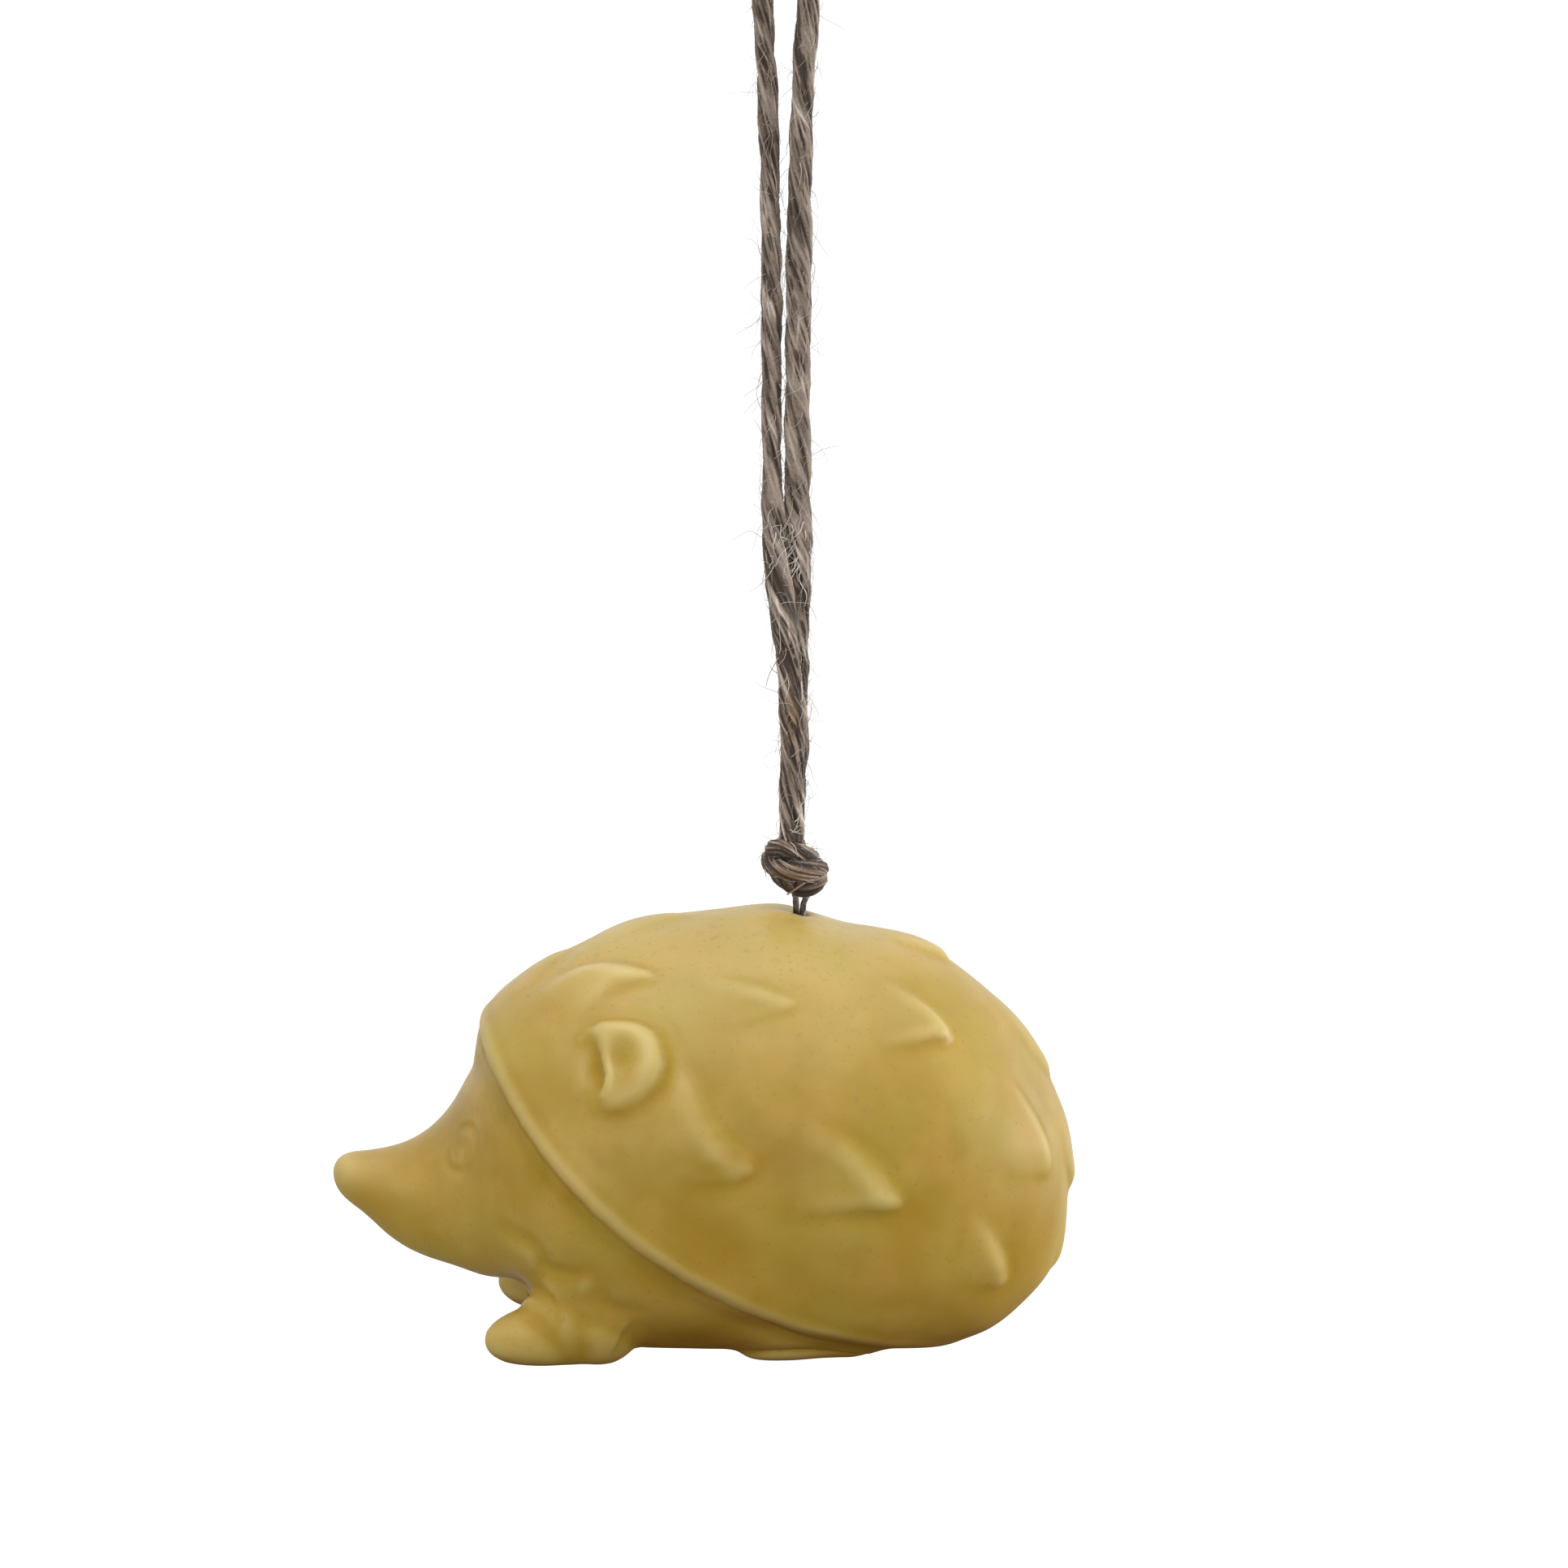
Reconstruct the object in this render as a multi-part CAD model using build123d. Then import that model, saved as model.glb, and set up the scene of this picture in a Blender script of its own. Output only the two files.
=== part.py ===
# Hanging hedgehog figurine: a hollow ceramic body on a wire hanger and a knotted loop of twine.
# Millimetres. The origin is under the top bend of the loop, where a hook bears. +Z is up, the
# snout points along -X, and the figurine is mirrored about the XZ plane.

from build123d import *
import math
import os

# Ceramic body: the bare core, which is head and belly, and the coat of spines over it
CORE_LENGTH = 64.3
CORE_HEIGHT = 37.5
CORE_HALF_WIDTH = 18.2
COAT_THICKNESS = 0.9
BELLY_FLAT_SHARE = 0.42

# Cross-sections of the core, from the snout's tip to the rump: place along the length, top,
# bottom and widest height as shares of the height, and half width as a share of the half width
CORE_SHARES = [
    (0.000, 0.404, 0.379, 0.388, 0.020),
    (0.005, 0.421, 0.353, 0.387, 0.071),
    (0.017, 0.436, 0.328, 0.384, 0.118),
    (0.040, 0.443, 0.299, 0.376, 0.154),
    (0.065, 0.448, 0.261, 0.365, 0.192),
    (0.096, 0.461, 0.224, 0.355, 0.253),
    (0.131, 0.496, 0.200, 0.352, 0.324),
    (0.165, 0.563, 0.187, 0.360, 0.418),
    (0.196, 0.672, 0.173, 0.373, 0.527),
    (0.230, 0.796, 0.152, 0.395, 0.648),
    (0.283, 0.869, 0.107, 0.419, 0.797),
    (0.361, 0.931, 0.039, 0.437, 0.918),
    (0.470, 0.981, 0.024, 0.453, 0.989),
    (0.560, 1.000, 0.021, 0.453, 1.000),
    (0.640, 0.995, 0.021, 0.451, 0.993),
    (0.720, 0.968, 0.024, 0.448, 0.973),
    (0.796, 0.917, 0.035, 0.443, 0.901),
    (0.874, 0.832, 0.064, 0.432, 0.775),
    (0.936, 0.717, 0.133, 0.424, 0.604),
    (0.977, 0.587, 0.229, 0.416, 0.418),
    (0.994, 0.501, 0.312, 0.411, 0.242),
    (1.000, 0.420, 0.401, 0.411, 0.020),
]
SECTION_COUNT_BEFORE_COAT = 7
SECTION_COUNT_BEFORE_HOLE = 14

# Front edge of the coat: an arc seen from the side, given by its centre and a point on the brow,
# as shares of the core's length behind the hole and of its height above the soles
HOOD_CENTRE_SHARES = (0.322, 1.500)
HOOD_BROW_SHARES = (-0.434, 0.747)

# Hollow left by slip casting, and the hole in the belly that the slip is poured out through;
# the hollow stops well short of the rump, so that the figurine hangs level from its hole
WALL = 2.3
SECTION_COUNT_BEFORE_HOLLOW = 7
SECTION_COUNT_TO_HOLLOW_END = 17
CAVITY_FORWARD = 0.006
POUR_HOLE_RADIUS = 3.5
POUR_HOLE_BEHIND = 2.0

# Ears: low rounded pads, dished in the middle and bitten out a little along the front edge; their
# place is given as shares of the core's length before the hole, of its half width and its height
EAR_LENGTH = 7.0
EAR_HEIGHT = 8.8
EAR_DEPTH = 4.4
EAR_RISE = 1.3
EAR_DISH_SHARE = 0.62
EAR_DISH_DEPTH = 0.7
EAR_BITE_RADIUS = 5.2
EAR_BITE_DEPTH = 1.0
EAR_PLACE_SHARES = (0.229, 0.857, 0.741)

# Front paws, each a toe part and an arm part, and rear feet, all with flat soles; their places
# are shares of the core's length before the hole and of its half width
PAW_LENGTH = 10.2
PAW_WIDTH = 5.6
PAW_HEIGHT = 5.6
PAW_PLACE_SHARES = (0.347, 0.599)
ARM_LENGTH = 11.0
ARM_WIDTH = 6.2
ARM_HEIGHT = 8.6
ARM_PLACE_SHARES = (0.292, 0.599)
FOOT_LENGTH = 11.0
FOOT_WIDTH = 6.0
FOOT_HEIGHT = 2.9
FOOT_PLACE_SHARES = (-0.006, 0.516)
SOLE_SINK = 0.5

# Wire hanger: an eye round the twine's bight, two legs through the hole, two feet spread inside
WIRE_DIAMETER = 0.55
WIRE_GAP = 0.03
HOLE_CLEARANCE = 0.185
EYE_ABOVE_BACK = 2.3
EYE_CLEARANCE = 0.16
EYE_STRAIGHT = 0.45
FOOT_REACH = 4.0
FOOT_DROP = 0.9
FOOT_CLEARANCE = 0.3
FOOT_BEND_RADIUS = 0.8
NECK_BEND_RADIUS = 0.9
NECK_ABOVE_BACK = 0.35

# Twine, and the overhand knot: a ball where the strands enter, a core and three turns, each
# placed by how far it lies behind the wire's eye and above it
TWINE_DIAMETER = 1.8
BIGHT_LENGTH = 4.4
SLOT_CLEARANCE = 0.12
SLOT_ROOM = 0.5
KNOT_BALL_RADIUS = 2.1
KNOT_BALL_PLACE = (-0.65, 2.4)
KNOT_BALL_GAP = 0.2
KNOT_CORE_RADIUS = 1.9
KNOT_CORE_PLACE = (-0.35, 1.4)
UPPER_WRAP_RADIUS = 1.3
UPPER_WRAP_PLACE = (-1.0, 2.5)
UPPER_WRAP_TILT = 12.0
LOWER_WRAP_RADIUS = 1.75
LOWER_WRAP_PLACE = (-0.2, 1.4)
LAST_WRAP_RADIUS = 1.45
LAST_WRAP_PLACE = (0.3, 0.4)
LOWER_WRAP_TILT = 21.0

# Route of the loop's twine: up the left strand from the knot, over the hook, down the right one
LOOP_ROUTE = [
    (0.55, -1.10, -77.50),
    (0.72, -1.10, -70.00),
    (0.40, -0.98, -62.00),
    (-0.70, -0.50, -54.00),
    (-1.22, -0.05, -46.00),
    (-1.15, 0.00, -31.00),
    (-1.42, 0.02, -13.50),
    (-2.00, 0.00, -4.70),
    (-2.10, 0.00, 0.10),
    (0.00, 0.00, 1.31),
    (2.10, 0.00, 0.10),
    (2.00, 0.00, -4.70),
    (1.38, -0.02, -13.50),
    (1.15, 0.00, -31.00),
    (1.06, 0.05, -46.00),
    (1.22, 0.75, -54.00),
    (0.90, 1.10, -62.00),
    (1.00, 1.12, -70.00),
    (0.55, 1.10, -77.50),
]
BEND_SHARE = 0.45

# The wire's eye hangs under the end of the loop's twine
EYE_BELOW_LOOP = 4.2
EYE_BEHIND_LOOP = 0.7
EYE_X = LOOP_ROUTE[0][0] + EYE_BEHIND_LOOP
EYE_Z = LOOP_ROUTE[0][2] - EYE_BELOW_LOOP

CORE_MIDDLE = CORE_HEIGHT / 2
HOLE_ALONG_SHARE, HOLE_TOP_SHARE = CORE_SHARES[SECTION_COUNT_BEFORE_HOLE][:2]
CORE_TOP = HOLE_TOP_SHARE * CORE_HEIGHT
BACK_ABOVE_SOLE = CORE_MIDDLE + (CORE_TOP - CORE_MIDDLE) * (1 + COAT_THICKNESS / CORE_MIDDLE)
SOLE_Z = EYE_Z - EYE_ABOVE_BACK - BACK_ABOVE_SOLE


def section(shares, growth, wall):
    """One upright cross-section: stretched about the core's middle by growth, then cut in by wall."""
    along, top, bottom, widest, half = shares
    stretch = 1 + growth / CORE_MIDDLE
    x = CORE_LENGTH * (1 / 2 - HOLE_ALONG_SHARE) + (along - 1 / 2) * (CORE_LENGTH + 2 * growth)
    side = half * (CORE_HALF_WIDTH + growth) - wall
    level = widest * CORE_HEIGHT
    above = (top * CORE_HEIGHT - CORE_MIDDLE) * stretch + CORE_MIDDLE - wall - level
    below = level - (bottom * CORE_HEIGHT - CORE_MIDDLE) * stretch - CORE_MIDDLE - wall
    flat = side * BELLY_FLAT_SHARE
    curve = [
        EllipticalCenterArc((0, level), side, above, 0, arc_size=90),
        EllipticalCenterArc((0, level), side, above, 90, arc_size=90),
        EllipticalCenterArc((-flat, level), side - flat, below, 180, arc_size=90),
        Line((-flat, level - below), (flat, level - below)),
        EllipticalCenterArc((flat, level), side - flat, below, 270, arc_size=90),
    ]
    return Plane((x, 0, 0), x_dir=(0, 1, 0), z_dir=(1, 0, 0)) * make_face(Curve() + curve)


def skin(first, last, growth=0, wall=0):
    """A smooth solid through a run of cross-sections."""
    return loft([section(shares, growth, wall) for shares in CORE_SHARES[first:last]])


def ball(length, width, height):
    """An egg-shaped solid with its centre at the origin."""
    return scale(Sphere(1), by=(length / 2, width / 2, height / 2))


def coat():
    """The coat of spines: a slightly larger skin, cut along the arc of its front edge."""
    centre_x, brow_x = [shares[0] * CORE_LENGTH for shares in (HOOD_CENTRE_SHARES, HOOD_BROW_SHARES)]
    centre_z, brow_z = [shares[1] * CORE_HEIGHT for shares in (HOOD_CENTRE_SHARES, HOOD_BROW_SHARES)]
    radius = math.hypot(centre_x - brow_x, centre_z - brow_z)
    hood = Pos(centre_x, 0, centre_z) * Rot(90, 0, 0) * Cylinder(radius, 4 * CORE_HALF_WIDTH)
    return skin(SECTION_COUNT_BEFORE_COAT, len(CORE_SHARES), growth=COAT_THICKNESS) & hood


def over(coat_skin, shares):
    """The point of the coat over a place, and the way out of the coat there."""
    middle = Vector(0, 0, CORE_MIDDLE)
    before, side, above = shares
    place = Vector(-before * CORE_LENGTH, -side * CORE_HALF_WIDTH, above * CORE_HEIGHT)
    outward = place - middle
    hits = coat_skin.find_intersection_points(Axis(middle, outward))
    return max(hits, key=lambda hit: (hit[0] - middle).dot(outward))


def ear(coat_skin):
    """The ear on the animal's left: a pad that is dished outwards and bitten out in front."""
    place, outward = over(coat_skin, EAR_PLACE_SHARES)
    seat = Plane(origin=place, x_dir=Vector(1, 0, 0) - outward * outward.X, z_dir=outward)
    pad = Pos(0, 0, EAR_RISE - EAR_DEPTH / 2) * ball(EAR_LENGTH, EAR_HEIGHT, EAR_DEPTH)
    dish = Pos(0, 0, EAR_RISE - EAR_DISH_DEPTH + EAR_DISH_SHARE * EAR_DEPTH / 2) * scale(
        ball(EAR_LENGTH, EAR_HEIGHT, EAR_DEPTH), by=EAR_DISH_SHARE
    )
    bite = Pos(EAR_BITE_DEPTH - EAR_LENGTH / 2 - EAR_BITE_RADIUS, 0, 0) * Cylinder(EAR_BITE_RADIUS, 2 * EAR_DEPTH)
    return seat * (pad - dish - bite)


def limb(place_shares, length, width, height):
    """A paw, arm or foot on the left, sunk a little so that the cut at the sole leaves a flat."""
    before, side = place_shares
    place = Pos(-before * CORE_LENGTH, -side * CORE_HALF_WIDTH, height / 2 - SOLE_SINK)
    return place * ball(length, width, height)


def ceramic_body():
    """The hollow casting, with its soles at height zero and the wire's hole over the origin."""
    coat_skin = coat()
    left = [
        ear(coat_skin),
        limb(PAW_PLACE_SHARES, PAW_LENGTH, PAW_WIDTH, PAW_HEIGHT),
        limb(ARM_PLACE_SHARES, ARM_LENGTH, ARM_WIDTH, ARM_HEIGHT),
        limb(FOOT_PLACE_SHARES, FOOT_LENGTH, FOOT_WIDTH, FOOT_HEIGHT),
    ]
    body = skin(0, len(CORE_SHARES)) + coat_skin
    for piece in left:
        body = body + piece + mirror(piece, Plane.XZ)
    below = Pos(0, 0, -CORE_HEIGHT / 2) * Box(4 * CORE_LENGTH, 4 * CORE_HALF_WIDTH, CORE_HEIGHT)
    cavity = Pos(-CAVITY_FORWARD, 0, 0) * skin(
        SECTION_COUNT_BEFORE_HOLLOW, SECTION_COUNT_TO_HOLLOW_END, wall=WALL
    )
    hole_radius = WIRE_DIAMETER + WIRE_GAP / 2 + HOLE_CLEARANCE
    hole = Pos(0, 0, BACK_ABOVE_SOLE) * Cylinder(hole_radius, CORE_HEIGHT / 2)
    pour = Pos(POUR_HOLE_BEHIND, 0, 0) * Cylinder(POUR_HOLE_RADIUS, CORE_HEIGHT / 2)
    return body - below - cavity - hole - pour


def eye_radius():
    """Radius of the middle of the wire where it goes round the bight."""
    return TWINE_DIAMETER / 2 + EYE_CLEARANCE + WIRE_DIAMETER / 2


def wire_hanger():
    """One bent wire: a foot, a leg, the eye round the twine's bight, the other leg and foot."""
    eye = eye_radius()
    leg = (WIRE_DIAMETER + WIRE_GAP) / 2
    neck = NECK_ABOVE_BACK - EYE_ABOVE_BACK
    ceiling = CORE_TOP - WALL - BACK_ABOVE_SOLE - EYE_ABOVE_BACK
    bend = ceiling - FOOT_CLEARANCE - WIRE_DIAMETER / 2
    half = [
        (FOOT_REACH, bend - FOOT_DROP),
        (leg, bend),
        (leg, neck),
        (eye, -EYE_STRAIGHT),
        (eye, eye),
    ]
    points = [(x, 0, z) for x, z in half] + [(-x, 0, z) for x, z in reversed(half)]
    bends = [FOOT_BEND_RADIUS, NECK_BEND_RADIUS, NECK_BEND_RADIUS, eye - WIRE_GAP / 2]
    path = FilletPolyline(*points, radius=bends + bends[::-1])
    profile = Plane(origin=path @ 0, z_dir=path % 0) * Circle(WIRE_DIAMETER / 2)
    return sweep(profile, path=path)


def by_eye(place):
    """A place behind the wire's eye and above it."""
    behind, above = place
    return Pos(EYE_X + behind, 0, EYE_Z + above)


def wrap(turn_radius, place, tilt):
    """One turn of twine round the knot, lower on the right than on the left."""
    return by_eye(place) * Rot(0, tilt, 0) * Torus(turn_radius, TWINE_DIAMETER / 2)


def twine_knot():
    """The overhand knot: turns of twine round a core, slotted for the eye, and the bight in it."""
    knot = by_eye(KNOT_BALL_PLACE) * Sphere(KNOT_BALL_RADIUS)
    knot += by_eye(KNOT_CORE_PLACE) * Sphere(KNOT_CORE_RADIUS)
    knot += wrap(UPPER_WRAP_RADIUS, UPPER_WRAP_PLACE, UPPER_WRAP_TILT)
    knot += wrap(LOWER_WRAP_RADIUS, LOWER_WRAP_PLACE, LOWER_WRAP_TILT)
    knot += wrap(LAST_WRAP_RADIUS, LAST_WRAP_PLACE, LOWER_WRAP_TILT)
    across = Pos(EYE_X, 0, EYE_Z) * Rot(90, 0, 0)
    bight = across * Cylinder(TWINE_DIAMETER / 2, BIGHT_LENGTH)
    slot_radius = eye_radius() + WIRE_DIAMETER / 2 + SLOT_ROOM
    slot = across * Cylinder(slot_radius, WIRE_DIAMETER + 2 * SLOT_CLEARANCE)
    return knot - slot + bight


def bend_radii(route):
    """The largest bend that each corner of a route has room for."""
    radii = []
    for before, corner, after in zip(route, route[1:], route[2:]):
        arriving = Vector(corner) - Vector(before)
        leaving = Vector(after) - Vector(corner)
        half_turn = math.radians(arriving.get_angle(leaving) / 2)
        radii.append(BEND_SHARE * min(arriving.length, leaving.length) / math.tan(half_turn))
    return radii


def twine_loop():
    """The free twine: both strands and the bend over the hook, clear of the knot's round top."""
    radii = bend_radii(LOOP_ROUTE)
    path = FilletPolyline(*LOOP_ROUTE, radius=radii)
    profile = Plane(origin=path @ 0, z_dir=path % 0) * Circle(TWINE_DIAMETER / 2)
    tube = sweep(profile, path=path)
    print("bend radii", [round(radius, 1) for radius in radii])
    section_by_length = math.pi * (TWINE_DIAMETER / 2) ** 2 * path.length
    print("tube length", path.length, "volume", tube.volume, "section by length", section_by_length)
    return tube - by_eye(KNOT_BALL_PLACE) * Sphere(KNOT_BALL_RADIUS + KNOT_BALL_GAP)


os.makedirs("parts", exist_ok=True)
body = ceramic_body()
print("body volume", body.volume, "centre of mass", body.center(CenterOf.MASS), body.bounding_box())
export_step(Pos(EYE_X, 0, SOLE_Z) * body, "parts/ceramic_body.step")
export_step(Pos(EYE_X, 0, EYE_Z) * wire_hanger(), "parts/wire_hanger.step")
export_step(twine_knot(), "parts/twine_knot.step")
export_step(twine_loop(), "parts/twine_loop.step")
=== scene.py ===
import math

import bmesh
import bpy
import numpy as np
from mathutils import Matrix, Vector


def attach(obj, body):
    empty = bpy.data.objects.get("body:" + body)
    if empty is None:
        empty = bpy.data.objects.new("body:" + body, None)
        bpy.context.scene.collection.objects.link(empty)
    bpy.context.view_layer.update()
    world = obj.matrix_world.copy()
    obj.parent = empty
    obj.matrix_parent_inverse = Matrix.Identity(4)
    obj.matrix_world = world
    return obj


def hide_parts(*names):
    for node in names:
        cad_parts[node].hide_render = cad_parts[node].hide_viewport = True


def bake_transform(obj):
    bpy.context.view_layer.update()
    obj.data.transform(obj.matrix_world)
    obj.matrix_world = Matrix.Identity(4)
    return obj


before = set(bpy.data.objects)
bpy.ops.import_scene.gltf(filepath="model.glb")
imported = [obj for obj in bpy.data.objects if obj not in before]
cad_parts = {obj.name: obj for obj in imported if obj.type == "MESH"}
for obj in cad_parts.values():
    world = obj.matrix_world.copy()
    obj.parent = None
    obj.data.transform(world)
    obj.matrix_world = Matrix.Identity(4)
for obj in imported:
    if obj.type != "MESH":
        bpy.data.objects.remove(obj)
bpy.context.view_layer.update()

MM = 0.001

# Places in millimetres, shared with the solids: the wire's hole and the soles, and the loop's route
HOLE_X = 1.25
SOLE_Z = -122.2035
LOOP_ROUTE = [
    (0.55, -1.1, -77.5), (0.72, -1.1, -70), (0.4, -0.98, -62), (-0.7, -0.5, -54),
    (-1.22, -0.05, -46), (-1.15, 0, -31), (-1.42, 0.02, -13.5), (-2, 0, -4.7),
    (-2.1, 0, 0.1), (0, 0, 1.31), (2.1, 0, 0.1), (2, 0, -4.7),
    (1.38, -0.02, -13.5), (1.15, 0, -31), (1.06, 0.05, -46), (1.22, 0.75, -54),
    (0.9, 1.1, -62), (1, 1.12, -70), (0.55, 1.1, -77.5),
]

# How far a ply runs in one turn, steps along lines and how thick hairs are, in millimetres; voxels in metres
LOOP_LAY, KNOT_LAY = -19.0, 12.0
LOOP_STEP, KNOT_STEP, FINE_STEP = 0.14, 0.12, 0.10
HAIR_THICKNESS, TUFT_THICKNESS = 0.028, 0.060
COARSE_VOXEL, FINE_VOXEL = 0.00040, 0.00026


# Meshes and lines

def add_object(name, data):
    thing = bpy.data.objects.new(name, data)
    bpy.context.scene.collection.objects.link(thing)
    return thing


def add_mesh(name, points, faces, material):
    """A smooth mesh object from points in millimetres."""
    data = bpy.data.meshes.new(name)
    data.from_pydata((np.asarray(points) * MM).tolist(), [], faces)
    data.shade_smooth()
    data.materials.append(material)
    return add_object(name, data)


def set_attribute(thing, name, values):
    attribute = thing.data.attributes.new(name, "FLOAT", "POINT")
    attribute.data.foreach_set("value", np.asarray(values, np.float32).ravel())


def spline_line(route):
    """Points along the smooth spline that a route controls, in millimetres."""
    data = bpy.data.curves.new("line", "CURVE")
    data.dimensions = "3D"
    data.resolution_u = 24
    spline = data.splines.new("NURBS")
    spline.points.add(len(route) - 1)
    for point, place in zip(spline.points, route):
        point.co = (place[0] * MM, place[1] * MM, place[2] * MM, 1)
    spline.order_u = 3
    spline.use_endpoint_u = True
    curve = add_object("line", data)
    line = bpy.data.meshes.new_from_object(curve)
    points = np.array([vertex.co for vertex in line.vertices]) / MM
    bpy.data.objects.remove(curve)
    bpy.data.meshes.remove(line)
    return points


def even_line(route, step):
    """Points at an even distance along a route's spline, and how far along it each one is."""
    points = spline_line(route)
    lengths = np.concatenate([[0], np.cumsum(np.linalg.norm(np.diff(points, axis=0), axis=1))])
    count = max(4, int(lengths[-1] / step) + 1)
    places = np.linspace(0, lengths[-1], count)
    return np.stack([np.interp(places, lengths, points[:, k]) for k in range(3)], 1), places


def line_frames(points):
    """Directions along a line and two directions across it that don't twist."""
    along = np.gradient(points, axis=0)
    along /= np.linalg.norm(along, axis=1)[:, None]
    first = np.cross(along[0], (0.31, 0.93, 0.17))
    across = np.zeros_like(along)
    across[0] = first / np.linalg.norm(first)
    for k in range(1, len(points)):
        side = across[k - 1] - along[k] * np.dot(across[k - 1], along[k])
        across[k] = side / np.linalg.norm(side)
    return along, across, np.cross(along, across)


def bell(value, width):
    return np.exp(-(value / width) ** 2)


def bell_around(points, place, reach):
    """One at a place, and less away from it by a reach in each direction."""
    return np.exp(-(((points - place) / reach) ** 2).sum(1))


def circle(around):
    return np.linspace(0, 2 * math.pi, around, endpoint=False)


def rings_around(line, reach, around):
    """Grid points round a line, at a reach given for each place along it and each angle."""
    _, across, over = line_frames(line)
    angle = circle(around)[None, :, None]
    ring = across[:, None] * np.cos(angle) + over[:, None] * np.sin(angle)
    return line[:, None] + ring * reach[..., None]


def waves(places, sizes, random, phase=0.0):
    """A sum of waves along a line, each given as its length and its height."""
    return sum(
        height * np.sin(places * 2 * math.pi / length + phase + random.uniform(0, 6.28))
        for length, height in sizes
    )


# Twine: three softly spun plies with long fibres, crevices between them and stray hairs

def twine_relief(places, around, radius, lay, random, fibres):
    """Radius and shade over a grid of length and angle. The shade is painted shade in the crevices between the
    plies and along short sunk fibres, a random tone along the fibres, and paler fibres that are partly a
    painted highlight.
    """
    turn = places[:, None] * (2 * math.pi / lay)
    angle = circle(around)[None, :]
    drift = waves(places, ((17.0, 0.30), (7.3, 0.16), (3.9, 0.08)), random)
    lobes = np.cos((angle - turn) * 3 + drift[:, None])
    gap = np.exp(-((1 + lobes) / 0.11))
    open_gap = np.clip(0.72 + waves(places, ((11.3, 0.5),), random), 0.15, 1)[:, None]
    relief = 0.055 * lobes - 0.15 * gap * open_gap
    # Painted shade: dark in the crevices between the plies, a little lighter over each ply.
    shade = 0.03 * lobes - 0.40 * gap * open_gap
    swell = waves(places, ((21.0, 0.03), (8.7, 0.035), (3.6, 0.025)), random)
    shade = shade + waves(places[:, None], ((29.0, 0.05), (13.0, 0.05)), random, 2 * (angle - turn))
    relief = relief * radius[:, None]
    length = places[-1]
    step = places[1] - places[0]
    cell = 2 * math.pi / around
    for _ in range(int(length * fibres)):
        centre = random.uniform(-2, length + 2)
        kind = random.uniform()
        if kind < 0.20:
            # Short sunk fibres, darkened with painted shade.
            long, wide = random.uniform(1.0, 3.4), random.uniform(0.06, 0.11)
            height, tone, slope = -random.uniform(0.05, 0.17), -random.uniform(0.3, 0.8), 0.05
        elif kind < 0.9:
            long, wide = random.uniform(2.5, 10.0), random.uniform(0.05, 0.13)
            height, tone, slope = random.uniform(0.01, 0.045), random.uniform(-0.16, 0.22), 0.10
        else:
            # Pale fibres across the twine, partly their own tone and partly a painted highlight.
            long, wide = random.uniform(1.5, 5.0), random.uniform(0.05, 0.08)
            height, tone, slope = random.uniform(0.03, 0.06), random.uniform(0.25, 0.5), 0.45
        first = max(0, int((centre - long / 2) / step))
        last = min(len(places), int((centre + long / 2) / step) + 1)
        if last - first < 2:
            continue
        rows = np.arange(first, last)
        run = (places[rows] - centre) / (long / 2)
        middle = random.uniform(0, 6.2832) + turn[rows, 0]
        middle = middle + random.uniform(-slope, slope) * (places[rows] - centre)
        columns = np.round(middle / (2 * math.pi) * around).astype(int)
        taper = np.clip(1 - run ** 2, 0, 1)
        thick = radius[rows]
        reach = max(1, int(wide * 2.0 / (cell * thick.min())))
        for shift in range(-reach, reach + 1):
            column = (columns + shift) % around
            away = ((columns + shift) * cell - middle) * thick
            weight = taper * bell(away, wide)
            relief[rows, column] += height * weight
            shade[rows, column] += tone * weight
    relief += 0.008 * random.standard_normal(relief.shape)
    return radius[:, None] * (0.94 + swell[:, None]) + relief, 0.5 + shade


def twine_rings(line, places, radius, lay, seed, around=64, ends=0.0, fibres=22):
    """Grid points and shades of a twine along a line."""
    random = np.random.default_rng(seed)
    radius = np.broadcast_to(np.asarray(radius, float), places.shape)
    reach, shade = twine_relief(places, around, radius, lay, random, fibres)
    if ends:
        near = np.minimum(places, places[-1] - places)
        reach *= np.sqrt(np.clip(1 - np.clip(1 - near / ends, 0, 1) ** 2, 0.02, 1))[:, None]
    return rings_around(line, reach, around), shade


def tube_faces(rows, around, first=0):
    row, column = np.meshgrid(np.arange(rows - 1), np.arange(around), indexing="ij")
    after = (column + 1) % around
    here, there = row * around, (row + 1) * around
    corners = (here + column, here + after, there + after, there + column)
    return first + np.stack([corner.ravel() for corner in corners], 1)


def twine_mesh(name, strands, material):
    """One mesh of several strands with closed ends, each given as its grid and its shades."""
    points, shades, quads, caps = [], [], [], []
    first = 0
    for rings, shade in strands:
        rows, around = shade.shape
        points.append(rings.reshape(-1, 3))
        shades.append(shade.ravel())
        quads.append(tube_faces(rows, around, first))
        caps.append(list(range(first + around - 1, first - 1, -1)))
        caps.append(list(range(first + (rows - 1) * around, first + rows * around)))
        first += rows * around
    thing = add_mesh(name, np.concatenate(points), np.concatenate(quads).tolist() + caps, material)
    set_attribute(thing, "shade", np.concatenate(shades))
    return thing


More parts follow.
